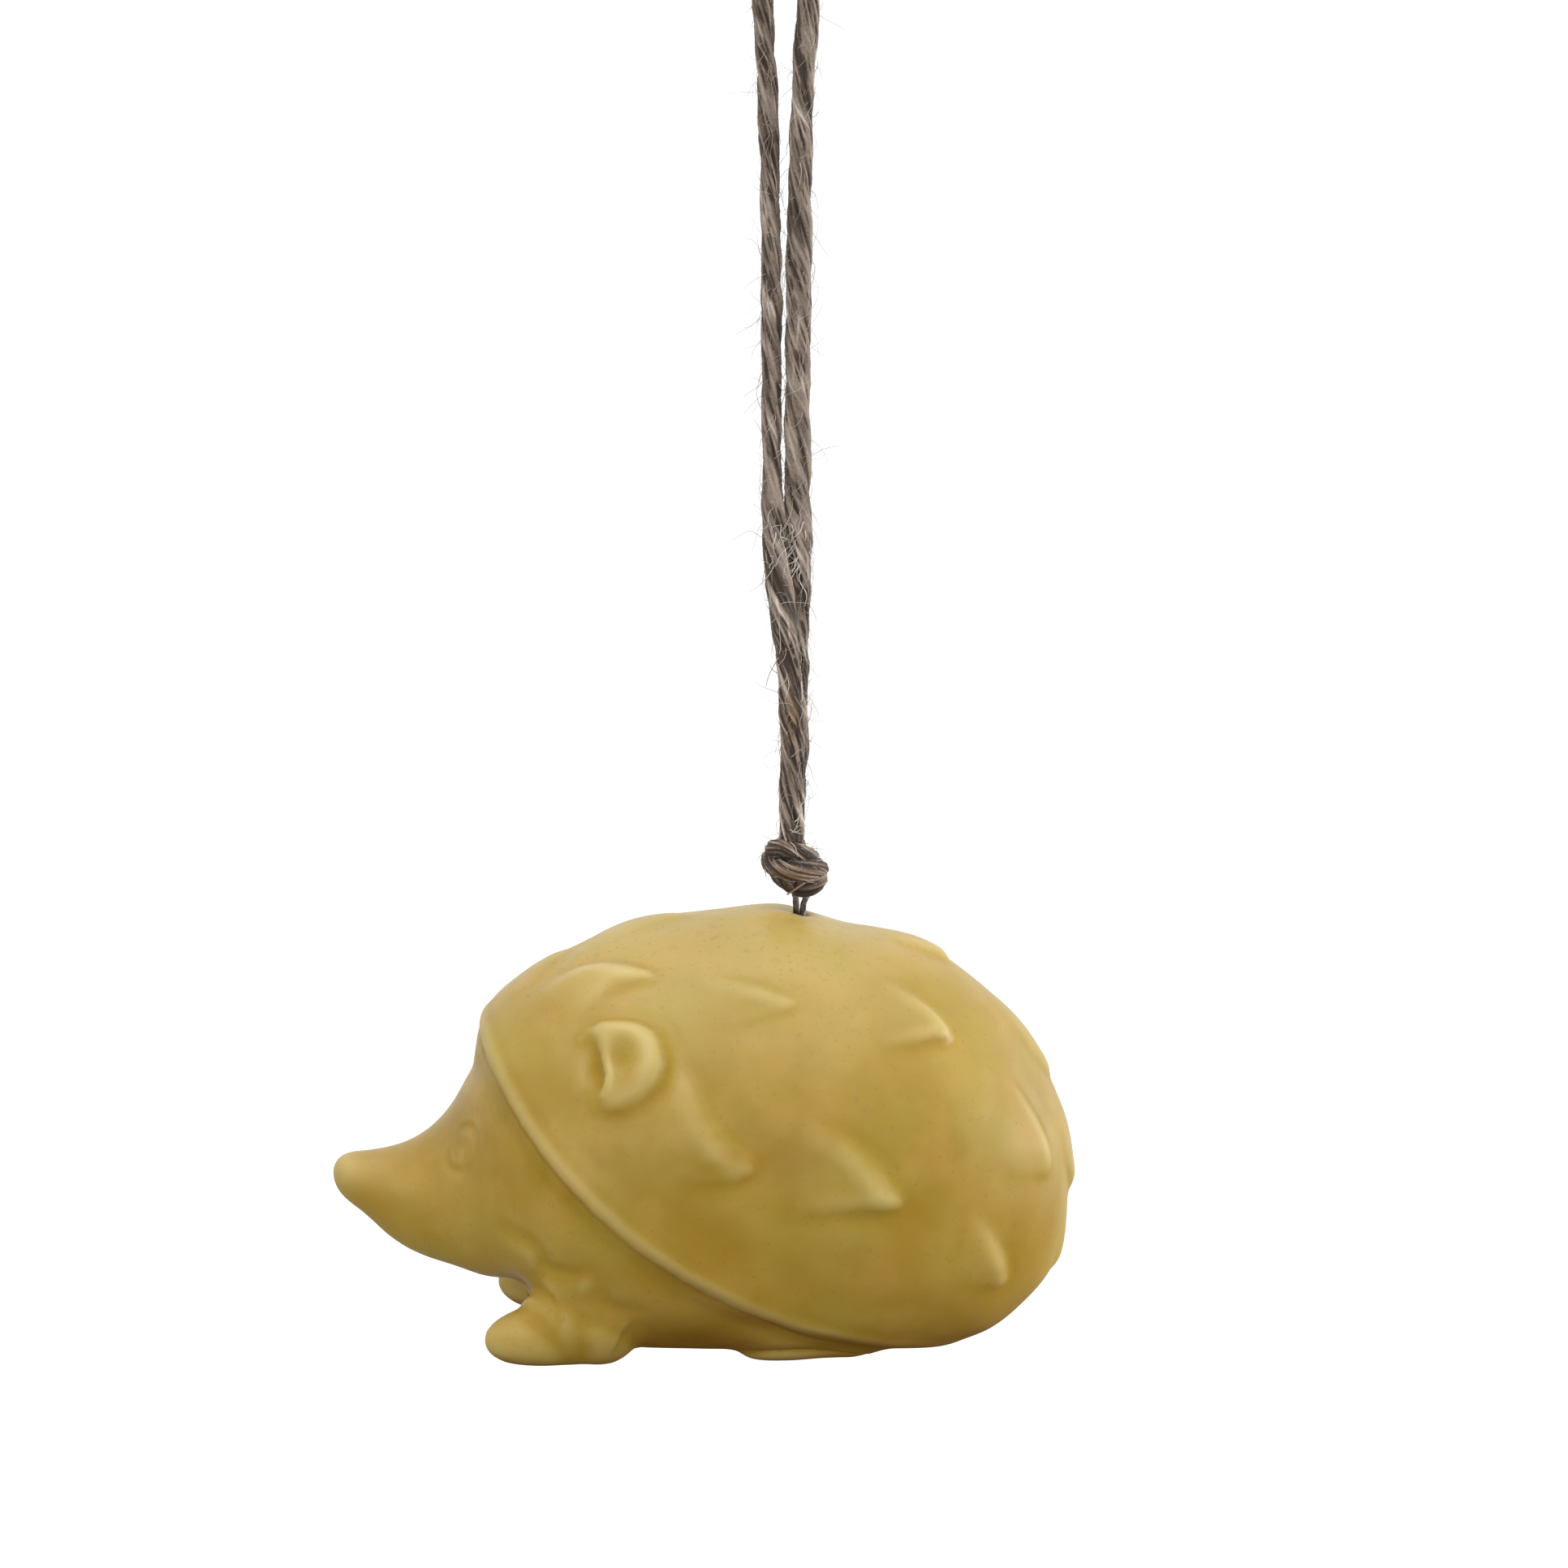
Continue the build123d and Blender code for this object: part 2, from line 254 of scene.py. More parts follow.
def hair_mesh(name, roots, directions, outwards, random, longest, thicknesses):
    """Stray fibres: thin curved hairs that lie along a surface and lift off it."""
    points, shades, quads = [], [], []
    first = 0
    for root, direction, outward, thickness in zip(roots, directions, outwards, thicknesses):
        length = longest * random.uniform(0.25, 1.0) ** 1.4
        count = 9
        run = np.linspace(0, 1, count)
        sideways = np.cross(direction, outward)
        bend = random.uniform(-0.5, 0.5)
        lift = random.uniform(0.05, 0.42) * length ** 0.6
        wave = random.uniform(-0.10, 0.10) * np.sin(run * random.uniform(4, 9))
        line = (
            root
            + direction * (run * length)[:, None]
            + sideways * ((bend * run ** 2 + wave) * length)[:, None]
            + outward * (lift * np.sin(run * math.pi * random.uniform(0.35, 0.95)) - 0.03)[:, None]
        )
        width = thickness * random.uniform(0.6, 1.3) * (1 - 0.65 * run)
        points.append(rings_around(line, width[:, None], 3).reshape(-1, 3))
        # Hairs are paler than the twine, thick tufts more so: partly their own tone and partly a painted
        # highlight.
        tone = random.uniform(0.55, 1.0) + 8 * (thickness - HAIR_THICKNESS)
        shades.append(np.full(count * 3, tone))
        quads.append(tube_faces(count, 3, first))
        first += count * 3
    thing = add_mesh(name, np.concatenate(points), np.concatenate(quads).tolist(), JUTE)
    set_attribute(thing, "shade", np.concatenate(shades))
    return thing


def stray_hairs(name, line, places, radius, seed, density, longest, tufts=()):
    """Hairs along a twine: most follow it, and some cross it. Tufts are heights, spreads and counts."""
    random = np.random.default_rng(seed)
    along, across, over = line_frames(line)
    count = int(places[-1] * density)
    rows = random.integers(1, len(line) - 1, count)
    angle = random.uniform(0, 2 * math.pi, count)
    thicknesses = np.full(count, HAIR_THICKNESS)
    for height, spread, number in tufts:
        near = np.where(np.abs(line[:, 2] - height) < spread)[0]
        near = random.choice(near, number)
        front = np.arctan2(-over[near, 1], -across[near, 1])
        rows = np.append(rows, near)
        angle = np.append(angle, front + random.normal(0, 0.7, number))
        thicknesses = np.append(thicknesses, np.full(number, TUFT_THICKNESS))
    count = len(rows)
    outward = across[rows] * np.cos(angle)[:, None] + over[rows] * np.sin(angle)[:, None]
    around = np.cross(along[rows], outward)
    follows = random.uniform(size=count) < 0.72
    slope = np.where(follows, random.normal(0.5, 0.35, count), random.normal(0.0, 1.6, count))
    sign = np.where(random.uniform(size=count) < 0.5, -1.0, 1.0)
    direction = (along[rows] + around * slope[:, None]) * sign[:, None]
    direction /= np.linalg.norm(direction, axis=1)[:, None]
    roots = line[rows] + outward * (np.broadcast_to(radius, places.shape)[rows] * 0.9)[:, None]
    return hair_mesh(name, roots, direction, outward, random, longest, thicknesses)


# Materials

class Nodes:
    """The nodes of a material or the world. Most methods add one and give its output."""

    def __init__(self, owner):
        owner.use_nodes = True
        self.owner = owner
        self.nodes, self.links = owner.node_tree.nodes, owner.node_tree.links

    def fill(self, node, inputs):
        """Link a node's inputs to other nodes' outputs, or set them to numbers or colours."""
        for socket, value in inputs.items():
            if isinstance(value, bpy.types.NodeSocket):
                self.links.new(value, node.inputs[socket])
            else:
                node.inputs[socket].default_value = (*value, 1) if isinstance(value, tuple) else value

    def add(self, kind, inputs, output=0):
        node = self.nodes.new(kind)
        self.fill(node, inputs)
        return node.outputs[output]

    def math(self, operation, *values):
        node = self.nodes.new("ShaderNodeMath")
        node.operation = operation
        self.fill(node, dict(enumerate(values)))
        return node.outputs[0]

    def attribute(self, name):
        node = self.nodes.new("ShaderNodeAttribute")
        node.attribute_name = name
        return node.outputs["Fac"]

    def noise(self, scale, detail):
        return self.add("ShaderNodeTexNoise", {"Vector": self.place, "Scale": scale, "Detail": detail}, "Fac")

    def ranged(self, value, low, high, bottom, top):
        return self.add("ShaderNodeMapRange", {
            "Value": value, "From Min": low, "From Max": high, "To Min": bottom, "To Max": top,
        }, "Result")

    def bump(self, height, strength, distance):
        return self.add("ShaderNodeBump", {
            "Height": height, "Strength": strength, "Distance": distance,
        }, "Normal")

    def mixed(self, factor, first, second, kind="MIX"):
        node = self.nodes.new("ShaderNodeMix")
        node.data_type = "RGBA"
        node.blend_type = kind
        self.fill(node, {"Factor": factor, "A": first, "B": second})
        return node.outputs["Result"]

    def ramp(self, value, stops):
        node = self.nodes.new("ShaderNodeValToRGB")
        while len(node.color_ramp.elements) < len(stops):
            node.color_ramp.elements.new(0.5)
        for element, (place, colour) in zip(node.color_ramp.elements, stops):
            element.position = place
            element.color = (*colour, 1)
        self.fill(node, {"Fac": value})
        return node.outputs["Color"]

    def seen_ray(self):
        """One for rays from the camera, for reflections and through glass, and else nothing."""
        path = self.nodes.new("ShaderNodeLightPath").outputs
        seen = path["Is Camera Ray"]
        for kind in ("Is Glossy Ray", "Is Transmission Ray"):
            seen = self.math("MAXIMUM", seen, path[kind])
        return seen


def new_material(name):
    """The nodes of a new material, with its shader and the object's own coordinates at hand."""
    material = Nodes(bpy.data.materials.new(name))
    material.shader = material.nodes["Principled BSDF"]
    material.place = material.add("ShaderNodeTexCoord", {}, "Object")
    return material


JUTE_GRAIN = 0.35
# The darkest stops colour the painted shade in the crevices, and the palest the fibres that are partly a
# painted highlight.
JUTE_STOPS = [
    (0.00, (0.026, 0.015, 0.009)),
    (0.24, (0.095, 0.066, 0.045)),
    (0.48, (0.250, 0.196, 0.152)),
    (0.74, (0.400, 0.326, 0.262)),
    (1.00, (0.660, 0.600, 0.535)),
]
RUST = (0.50, 0.31, 0.14)


def jute_material():
    """Jute: grey-brown fibres, with painted shade in the crevices, pale where they lift, which is partly a
    painted highlight, and rusty in places.
    """
    jute = new_material("jute")
    patches, fine = jute.noise(420, 3), jute.noise(5200, 2)
    tone = jute.math("MULTIPLY_ADD", patches, 0.5, -0.25)
    tone = jute.math("MULTIPLY_ADD", fine, JUTE_GRAIN, tone)
    tone = jute.math("ADD", jute.attribute("shade"), tone)
    tone = jute.math("SUBTRACT", tone, JUTE_GRAIN / 2)
    colour = jute.ramp(tone, JUTE_STOPS)
    jute.fill(jute.shader, {
        "Base Color": jute.mixed(jute.attribute("rust"), colour, RUST, "MULTIPLY"),
        "Normal": jute.bump(fine, 0.5, 0.00006),
        "Roughness": 0.82,
        "Sheen Weight": 0.25,
        "Sheen Roughness": 0.4,
    })
    return jute.owner


JUTE = jute_material()


# Ceramic body: the solid's own shape, softened, with the relief pressed into its skin

# Places below are in millimetres behind the wire's hole, to the side and above the soles. Quills,
# ears, jaw, arms and eyes are there on both sides. The points of their outlines were picked by eye
# in the photograph, and a helper script cast them onto the body, so they are not round numbers.

# A quill is a soft leaf: its upper edge from root to tip, its tip, its lower edge from tip to
# root, its height and how soft its two edges are.
QUILLS = [
    (
        [(-23.4, -5.6, 32), (-21, -5.4, 33.6), (-19.4, -5.6, 34.3), (-18, -6.1, 34.8), (-16.6, -6.9, 35.1),
         (-15.4, -7.8, 35.2), (-14.2, -8.6, 35.1), (-13.1, -9.3, 34.8)],
        (-12.1, -10.1, 34.3),
        [(-13.9, -10.4, 33.7), (-14.9, -10.5, 33.2), (-15.8, -10.6, 32.8), (-16.6, -10.8, 32.2),
         (-17.3, -11, 31.5), (-18.3, -11.4, 30.5), (-19.6, -11.6, 29.6)],
        1.28, 1.9, 1.8,
    ),
    (
        [(-8.6, -10.5, 34.5), (-7, -10.8, 34.5), (-5.4, -11.2, 34.4), (-3.8, -11.5, 34.1),
         (-2.3, -11.9, 33.7), (-0.7, -12.5, 33.1)],
        (0.4, -13, 32.4),
        [(-0.8, -13.7, 31.8), (-2.6, -14.3, 31.1), (-5, -14.8, 30.5), (-7.4, -14.8, 30.4)],
        0.58, 1.6, 3,
    ),
    (
        [(6.7, -9.1, 34.2), (8, -9, 33.7), (9.3, -9.2, 33), (10.9, -9.4, 32), (12.1, -9.6, 31),
         (12.9, -10.1, 30.1)],
        (13.5, -10.6, 29.2),
        [(13, -11.3, 28.8), (11.8, -12.2, 28.8), (10.2, -13.2, 28.7), (8.7, -14, 28.6), (7.2, -14.6, 28.6)],
        0.78, 1.4, 0.9,
    ),
    (
        [(-12.6, -12.4, 32.4), (-11.4, -14, 30.6), (-10.8, -15, 29.4), (-10.2, -15.7, 28.5),
         (-9.4, -16.5, 27.1), (-8.5, -17.2, 25.8), (-7.3, -18.2, 23.4), (-6.5, -18.6, 22.4),
         (-5.5, -19, 21.4), (-4.4, -19.1, 20.4)],
        (-3.2, -18.9, 19.2),
        [(-3.7, -19, 18.5), (-5.3, -19.1, 17.8), (-7.1, -19.1, 17.5), (-9.4, -19, 17.6),
         (-12.5, -18.6, 18.6)],
        0.78, 2.1, 3.4,
    ),
    (
        [(0.6, -18, 24), (2, -18.1, 23), (3.3, -18.2, 22.3), (4.5, -18.3, 21.6), (5.9, -18.2, 20.4),
         (7.2, -18.1, 18.9), (8.3, -17.9, 17.2)],
        (9.5, -17.6, 15.7),
        [(8.9, -17.7, 15.3), (7.5, -18.1, 15.2), (4.3, -18.7, 15), (1.4, -18.9, 14.8), (-0.3, -18.8, 14.2),
         (-1.2, -18.7, 13.1)],
        0.76, 1.9, 1.5,
    ),
    (
        [(17.6, -9.1, 26.4), (18.4, -9.1, 25.3), (19.4, -8.8, 24), (20.2, -8.7, 22.6), (20.9, -8.5, 21.3),
         (21.5, -8.4, 20), (21.9, -8.3, 18.9), (22.1, -8.4, 17.6)],
        (22, -8.8, 16.6),
        [(21.3, -9.8, 16.5), (19.7, -11.6, 16.7), (17.8, -13.3, 17.3), (15.6, -14.8, 18.2)],
        0.55, 1, 3,
    ),
    (
        [(14.9, -15.4, 15), (15.9, -14.6, 13.9), (16.8, -13.8, 12.4), (17.5, -13, 11), (18.1, -12.2, 9.8),
         (18.3, -11.5, 8.4)],
        (18.3, -11, 7.3),
        [(17.5, -11.6, 7.1), (16.2, -12.7, 7.2), (14.9, -13.6, 7.6), (12.9, -14.7, 8.4)],
        0.62, 1.3, 2.6,
    ),
]

# Quills over the ridge of the back: tip, root, half width, height and how soft their edges are
RIDGE_QUILLS = [
    ((-20.2, 0, 35.1), (-27.2, 0, 29.6), 4.6, 0.34, 2),
    ((-9.6, 0, 38), (-17.6, 0, 36.2), 2.9, 0.36, 1.8),
    ((2.4, 0, 38), (-5.8, 0, 38.4), 3.4, 0.34, 1.3),
    ((13.5, 0, 33.6), (6.6, 0, 36.6), 2.6, 0.55, 1.3),
    ((22.1, 0, 23), (16.4, 0, 30.9), 3, 0.48, 1.5),
    ((23.9, 0, 13.3), (23.2, 0, 21.6), 4.6, 0.5, 1.5),
    ((20.6, 0, 5.9), (23.3, 0, 12), 4.6, 0.4, 1.8),
]

# The ear: a rounded pad whose middle is dished and whose front edge is a small concave cliff
EAR_BACK = [
    (-18.6, -12.8, 29.1), (-18.3, -12.4, 29.9), (-17.6, -12.4, 30.3), (-16.7, -12.3, 30.6),
    (-15.6, -12.6, 30.7), (-14.5, -13, 30.8), (-13.5, -13.4, 30.7), (-12.7, -13.8, 30.4), (-12, -14.3, 30),
    (-11.5, -14.9, 29.3), (-11.2, -15.6, 28.4), (-11.1, -16.1, 27.6), (-11.3, -16.5, 26.7),
    (-11.6, -16.9, 25.9), (-12.2, -17.1, 25.1), (-12.9, -17.2, 24.4), (-13.8, -17.2, 24),
    (-14.9, -17.1, 23.6), (-15.9, -16.8, 23.4), (-16.7, -16.6, 23.5), (-17.3, -16.2, 23.9),
]
EAR_FRONT = [
    (-17.4, -16, 24.4), (-17, -15.9, 24.9), (-16.6, -15.8, 25.4), (-16.4, -15.5, 26.3),
    (-16.6, -14.9, 27.1), (-16.9, -14.3, 27.9), (-17.3, -13.7, 28.6), (-17.8, -13.2, 28.9),
]
EAR_CENTRE = (-14.8, -15.3, 27.4)
EAR_DIMPLE = (-14.9, -15.3, 27.5)
EAR_POCKET = (-17.2, -14.9, 26.7)
EAR_HEIGHT = 1.30

# Where the cheek ends over the chest
JAW_LINE = [
    (-27.1, -11, 13.1), (-25.7, -12.2, 12.3), (-24.1, -13.4, 11.6), (-23.3, -13.7, 11.2),
    (-22.8, -13.9, 10.8), (-22.3, -13.9, 10.1), (-22, -13.8, 9.5), (-21.5, -13.8, 9.1), (-20.9, -14, 8.8),
    (-20.2, -14.3, 8.6), (-19.4, -14.8, 8.6), (-18.5, -15.2, 8.9),
]

# The arm's outline where it leaves the chest, and the soft valley down the paw
ARM_OUTLINE = [
    (-22.8, -12.4, 7.3), (-22.3, -13.2, 8), (-21.7, -13.6, 8.3), (-20.5, -14.1, 8.3), (-19.2, -14.7, 8.3),
    (-18.2, -15.2, 8.5), (-17.7, -15.2, 8.1), (-17.5, -14.7, 7), (-16.7, -14.2, 5.7), (-15.5, -14.1, 5.1),
    (-14.2, -14.2, 5), (-13.5, -13.7, 4.2),
]
PAW_VALLEY = [
    (-18.3, -14, 5.6), (-18.6, -13.9, 4.7), (-18.7, -14, 3.8), (-18.7, -13.9, 2.9), (-18.7, -13.6, 1.7),
    (-18.8, -12.9, 0.6),
]
ARM_MIDDLE = (-18.7, -14.6, 6.0)
EYE_PLACE = (-29.4, -7.6, 18.4)

# Front edge of the coat: the arc's centre and radius seen from the side
HOOD_CENTRE = (20.7, 56.3)
HOOD_RADIUS = 56.2


def soft_step(value, low, high):
    run = np.clip((value - low) / (high - low), 0, 1)
    return run * run * (3 - 2 * run)


def line_distance(places, line):
    """Distance of flat places from a line, how far along it the nearest point is, and which side."""
    best = np.full(len(places), 1e9)
    along = np.zeros(len(places))
    side = np.zeros(len(places))
    total = 0.0
    for start, end in zip(line[:-1], line[1:]):
        step = end - start
        length = np.linalg.norm(step)
        away = places - start
        run = np.clip((away @ step) / length ** 2, 0, 1)
        far = np.linalg.norm(away - run[:, None] * step, axis=1)
        nearer = far < best
        best[nearer] = far[nearer]
        along[nearer] = total + run[nearer] * length
        side[nearer] = np.sign(step[0] * away[nearer, 1] - step[1] * away[nearer, 0])
        total += length
    return best, along / total, side


def inside_outline(places, outline):
    """True for flat places within an outline."""
    inside = np.zeros(len(places), bool)
    for start, end in zip(outline, np.roll(outline, -1, axis=0)):
        rises = (start[1] > places[:, 1]) != (end[1] > places[:, 1])
        if not rises.any():
            continue
        crossing = start[0] + (places[:, 1] - start[1]) * (end[0] - start[0]) / (end[1] - start[1] + 1e-12)
        inside ^= rises & (places[:, 0] < crossing)
    return inside


class Skin:
    """Vertices of a mesh in the body's own millimetres, with outward normals and neighbours."""

    def __init__(self, data):
        self.data = data
        count = len(data.vertices)
        flat = np.empty(count * 3, np.float32)
        data.vertices.foreach_get("co", flat)
        self.points = flat.reshape(-1, 3).astype(float) / MM - (HOLE_X, 0, SOLE_Z)
        pairs = np.empty(len(data.edges) * 2, np.int32)
        data.edges.foreach_get("vertices", pairs)
        self.pairs = pairs.reshape(-1, 2)
        self.degree = np.bincount(pairs, minlength=count).astype(float)
        self.read_normals()

    def read_normals(self):
        self.write()
        flat = np.empty(len(self.data.vertices) * 3, np.float32)
        self.data.vertex_normals.foreach_get("vector", flat)
        self.normals = flat.reshape(-1, 3).astype(float)

    def write(self):
        flat = ((self.points + (HOLE_X, 0, SOLE_Z)) * MM).astype(np.float32)
        self.data.vertices.foreach_set("co", flat.ravel())
        self.data.update()

    def averaged(self, values, turns):
        """Values after a number of turns of averaging with their neighbours."""
        values = values.reshape(len(self.points), -1).copy()
        ends, others = self.pairs[:, 0], self.pairs[:, 1]
        for _ in range(turns):
            total = np.stack([
                np.bincount(ends, values[others, k], len(values))
                + np.bincount(others, values[ends, k], len(values))
                for k in range(values.shape[1])
            ], 1)
            values += 0.5 * (total / self.degree[:, None] - values)
        return values

    def patch(self, centre, reach, facing=0.12):
        """Outer vertices around a place, laid flat: which they are, their flat places and a flattener."""
        centre = np.array(centre, float)
        near = np.linalg.norm(self.points - centre, axis=1) < reach
        middle = self.points[near][np.argmin(np.linalg.norm(self.points[near] - centre, axis=1))]
        close = np.linalg.norm(self.points - middle, axis=1) < 2.5
        outward = centre - (0.3 * centre[0], 0, 17)
        outward /= np.linalg.norm(outward)
        outward = self.normals[close & (self.normals @ outward > 0)].mean(0)
        outward /= np.linalg.norm(outward)
        self.outward = outward
        first = np.array([1.0, 0, 0]) - outward * outward[0]
        if np.linalg.norm(first) < 0.3:
            first = np.array([0, 0, 1.0]) - outward * outward[2]
        first /= np.linalg.norm(first)
        second = np.cross(outward, first)
        chosen = np.where(near & (self.normals @ outward > facing))[0]

        def flat(places):
            away = np.asarray(places, float) - middle
            return np.stack([away @ first, away @ second], 1)

        return chosen, flat(self.points[chosen]), flat


def mirrored(places, turn):
    return np.asarray(places, float) * (1, turn, 1)


def press_quill(skin, relief, upper, tip, lower, height, soft_upper, soft_lower):
    """One soft leaf: proud at its tip and edges, with a slight valley outside them."""
    outline = np.array([*upper, tip, *lower])
    chosen, places, flat = skin.patch(outline.mean(0), 13)
    above = flat([*upper, tip])
    below = flat([tip, *lower])
    whole = flat(outline)
    inside = inside_outline(places, whole)
    sign = np.where(inside, 1.0, -1.0)
    from_above, run_above, _ = line_distance(places, above)
    from_below, run_below, _ = line_distance(places, below)
    from_root, _, _ = line_distance(places, np.array([above[0], below[-1]]))
    length = np.linalg.norm((above[0] + below[-1]) / 2 - above[-1])
    fade = np.clip(from_root / length, 0, 1) ** 0.85
    raised = soft_step(sign * from_above, -0.25, soft_upper) * soft_step(sign * from_below, -0.25, soft_lower)
    tip_side = soft_step(fade, 0.05, 0.7)
    ridge = 0.16 * height * bell(from_above - 0.8 * soft_upper, 0.9) * inside * tip_side
    lip = 0.12 * height * bell(from_below - 0.8, 0.6) * inside * tip_side
    outside = 1 - inside
    near_above = 0.08 * bell(from_above, 1.0) + 0.22 * bell(from_above, 2.8)
    valley = near_above * soft_step(run_above, 0.05, 0.5)
    hollow = 0.24 * bell(from_below, 1.2) * soft_step(1 - run_below, 0.1, 0.7) / max(soft_lower, 0.9)
    sunk = -height * np.maximum(valley, hollow) * outside
    lift = height * fade * raised + ridge + lip
    relief[chosen] = np.where(inside, np.maximum(relief[chosen], lift), relief[chosen] + sunk + lift)


def ridge_outline(tip, root, half_width):
    """A symmetric leaf over the ridge, as an upper and a lower edge."""
    tip, root = np.array(tip, float), np.array(root, float)
    rows = []
    for run in (1.0, 0.8, 0.6, 0.45, 0.3, 0.18, 0.08):
        wide = half_width * min(1.0, run / 0.5) ** 0.6
        rows.append((tip + (root - tip) * run, wide))
    upper = [tuple(place + (0, -wide, -0.16 * wide)) for place, wide in rows]
    lower = [tuple(place + (0, wide, -0.16 * wide)) for place, wide in reversed(rows)]
    return upper, tuple(tip), lower


def smooth_away(skin, centre, inner, outer):
    """Replace what stands on the skin around a place by the surface that the skin around it makes."""
    chosen, places, flat = skin.patch(centre, outer + 4, facing=-2)
    middle = flat([centre])[0]
    far = np.linalg.norm(places - middle, axis=1)
    base = skin.points[chosen]
    x, y = (places - middle).T
    terms = np.stack([x ** 0, x, y, x * x, x * y, y * y, x ** 3, x * x * y, x * y * y, y ** 3], 1)
    outward = skin.outward
    height = base @ outward
    ring = (far > outer) & (far < outer + 2.6) & (skin.normals[chosen] @ outward > 0.35)
    level = terms @ np.linalg.lstsq(terms[ring], height[ring], rcond=None)[0]
    near = soft_step(height - level, -1.5, -1.2)
    weight = (1 - soft_step(far, inner, outer)) * near
    skin.points[chosen] = base + outward * ((level - height) * weight)[:, None]


def press_ear(skin, relief, turn):
    chosen, places, flat = skin.patch(mirrored(EAR_CENTRE, turn), 9)
    back = flat(mirrored(EAR_BACK, turn))
    front = flat(mirrored(EAR_FRONT, turn))
    inside = inside_outline(places, np.concatenate([back, front]))
    sign = np.where(inside, 1.0, -1.0)
    from_back, _, _ = line_distance(places, back)
    from_front, run, _ = line_distance(places, front)
    middle = soft_step(run, 0.0, 0.3) * soft_step(1 - run, 0.25, 0.62)
    wall = soft_step(sign * from_back, -0.45, 1.2)
    cliff = soft_step(sign * from_front, -0.2, 0.5) * middle
    cliff = cliff + soft_step(sign * from_front, -0.6, 1.1) * (1 - middle)
    dimple = flat(mirrored([EAR_DIMPLE], turn))[0]
    away = places - dimple
    dish = 0.48 * np.exp(-((away[:, 0] / 1.5) ** 2 + (away[:, 1] / 2.2) ** 2))
    height = EAR_HEIGHT * (1 - 0.5 * soft_step(-away[:, 1] * turn, 0.6, 3.6))
    slope = 0.30 * soft_step(from_back, 1.6, 4.2)
    lip = 0.12 * bell(from_front - 0.45, 0.35) * middle
    for hook, reach, strength in ((EAR_BACK[:1], 1.9, 0.9), (EAR_BACK[-1:], 1.3, 0.6)):
        far = ((places - flat(mirrored(hook, turn))[0]) ** 2).sum(1)
        wall *= 1 - strength * np.exp(-far / reach ** 2)
    lift = (height * wall - (dish + slope) * inside + lip * inside) * cliff
    pocket = flat(mirrored([EAR_POCKET], turn))[0]
    hole = 0.42 * bell(np.linalg.norm((places - pocket) * (1.0, 0.7), axis=1), 0.9)
    shade = 0.16 * bell(from_back, 1.6)
    around = relief[chosen] * soft_step(np.minimum(from_back, from_front), 0, 1.6)
    around = around - (hole + shade) * soft_step(np.minimum(from_back, from_front), 0.1, 0.8)
    relief[chosen] = np.where(inside, lift, around + height * wall * cliff)


def press_jaw(skin, relief, turn):
    """The cheek and the arm stand out along a soft crease, and the chest lies deeper beyond it."""
    chosen, places, flat = skin.patch(mirrored(JAW_LINE[3], turn), 10)
    line = flat(mirrored(JAW_LINE, turn))
    far, run, side = line_distance(places, line)
    beyond = far * side * turn
    strength = soft_step(run, 0.0, 0.5) * soft_step(1.0 - run, -0.05, 0.25)
    step = 0.12 * bell(beyond + 1.2, 1.3) - 0.19 * bell(beyond - 0.2, 0.95)
    relief[chosen] += step * strength


def press_arm(skin, relief, turn):
    """The arm leaves the chest along a soft step, and a valley runs down the paw."""
    chosen, places, flat = skin.patch(mirrored(ARM_MIDDLE, turn), 9)
    line = flat(mirrored(ARM_OUTLINE, turn))
    far, run, side = line_distance(places, line)
    within = -far * side * turn
    ends = soft_step(run, 0.0, 0.12) * soft_step(1.0 - run, 0.0, 0.12)
    step = 0.20 * soft_step(within, -0.9, 1.8) * (1 - soft_step(within, 1.4, 5.5))
    step -= 0.10 * bell(within + 0.7, 1.0)
    relief[chosen] += step * ends
    valley = flat(mirrored(PAW_VALLEY, turn))
    far, run, _ = line_distance(places, valley)
    relief[chosen] -= 0.20 * bell(far, 1.1) * soft_step(run, 0.0, 0.3)


def hollow_throat(skin):
    """Hollow the throat between the front paws, under the jaw."""
    under = soft_step(0.35 - skin.normals[:, 2], 0, 0.5)
    middle = bell_around(skin.points, (-24.7, 0, 5.9), (2.1, 20.0, 2.1))
    skin.points -= skin.normals * (1.35 * middle * under)[:, None]


def press_eye(skin, relief, turn):
    centre = mirrored(EYE_PLACE, turn)
    chosen, places, flat = skin.patch(centre, 5)
    away = places - flat([centre])[0]
    size = np.hypot((away[:, 0] - 0.2) / 2.35, away[:, 1] / 2.0)
    angle = np.arctan2(away[:, 1] * turn, away[:, 0])
    strength = 0.5 + 0.5 * np.cos(2 * (angle - 0.9))
    groove = -0.17 * bell(size - 1, 0.13) * strength
    bead = 0.06 * bell(np.hypot(away[:, 0] - 0.05, away[:, 1] + 0.6), 0.55)
    relief[chosen] += groove + bead


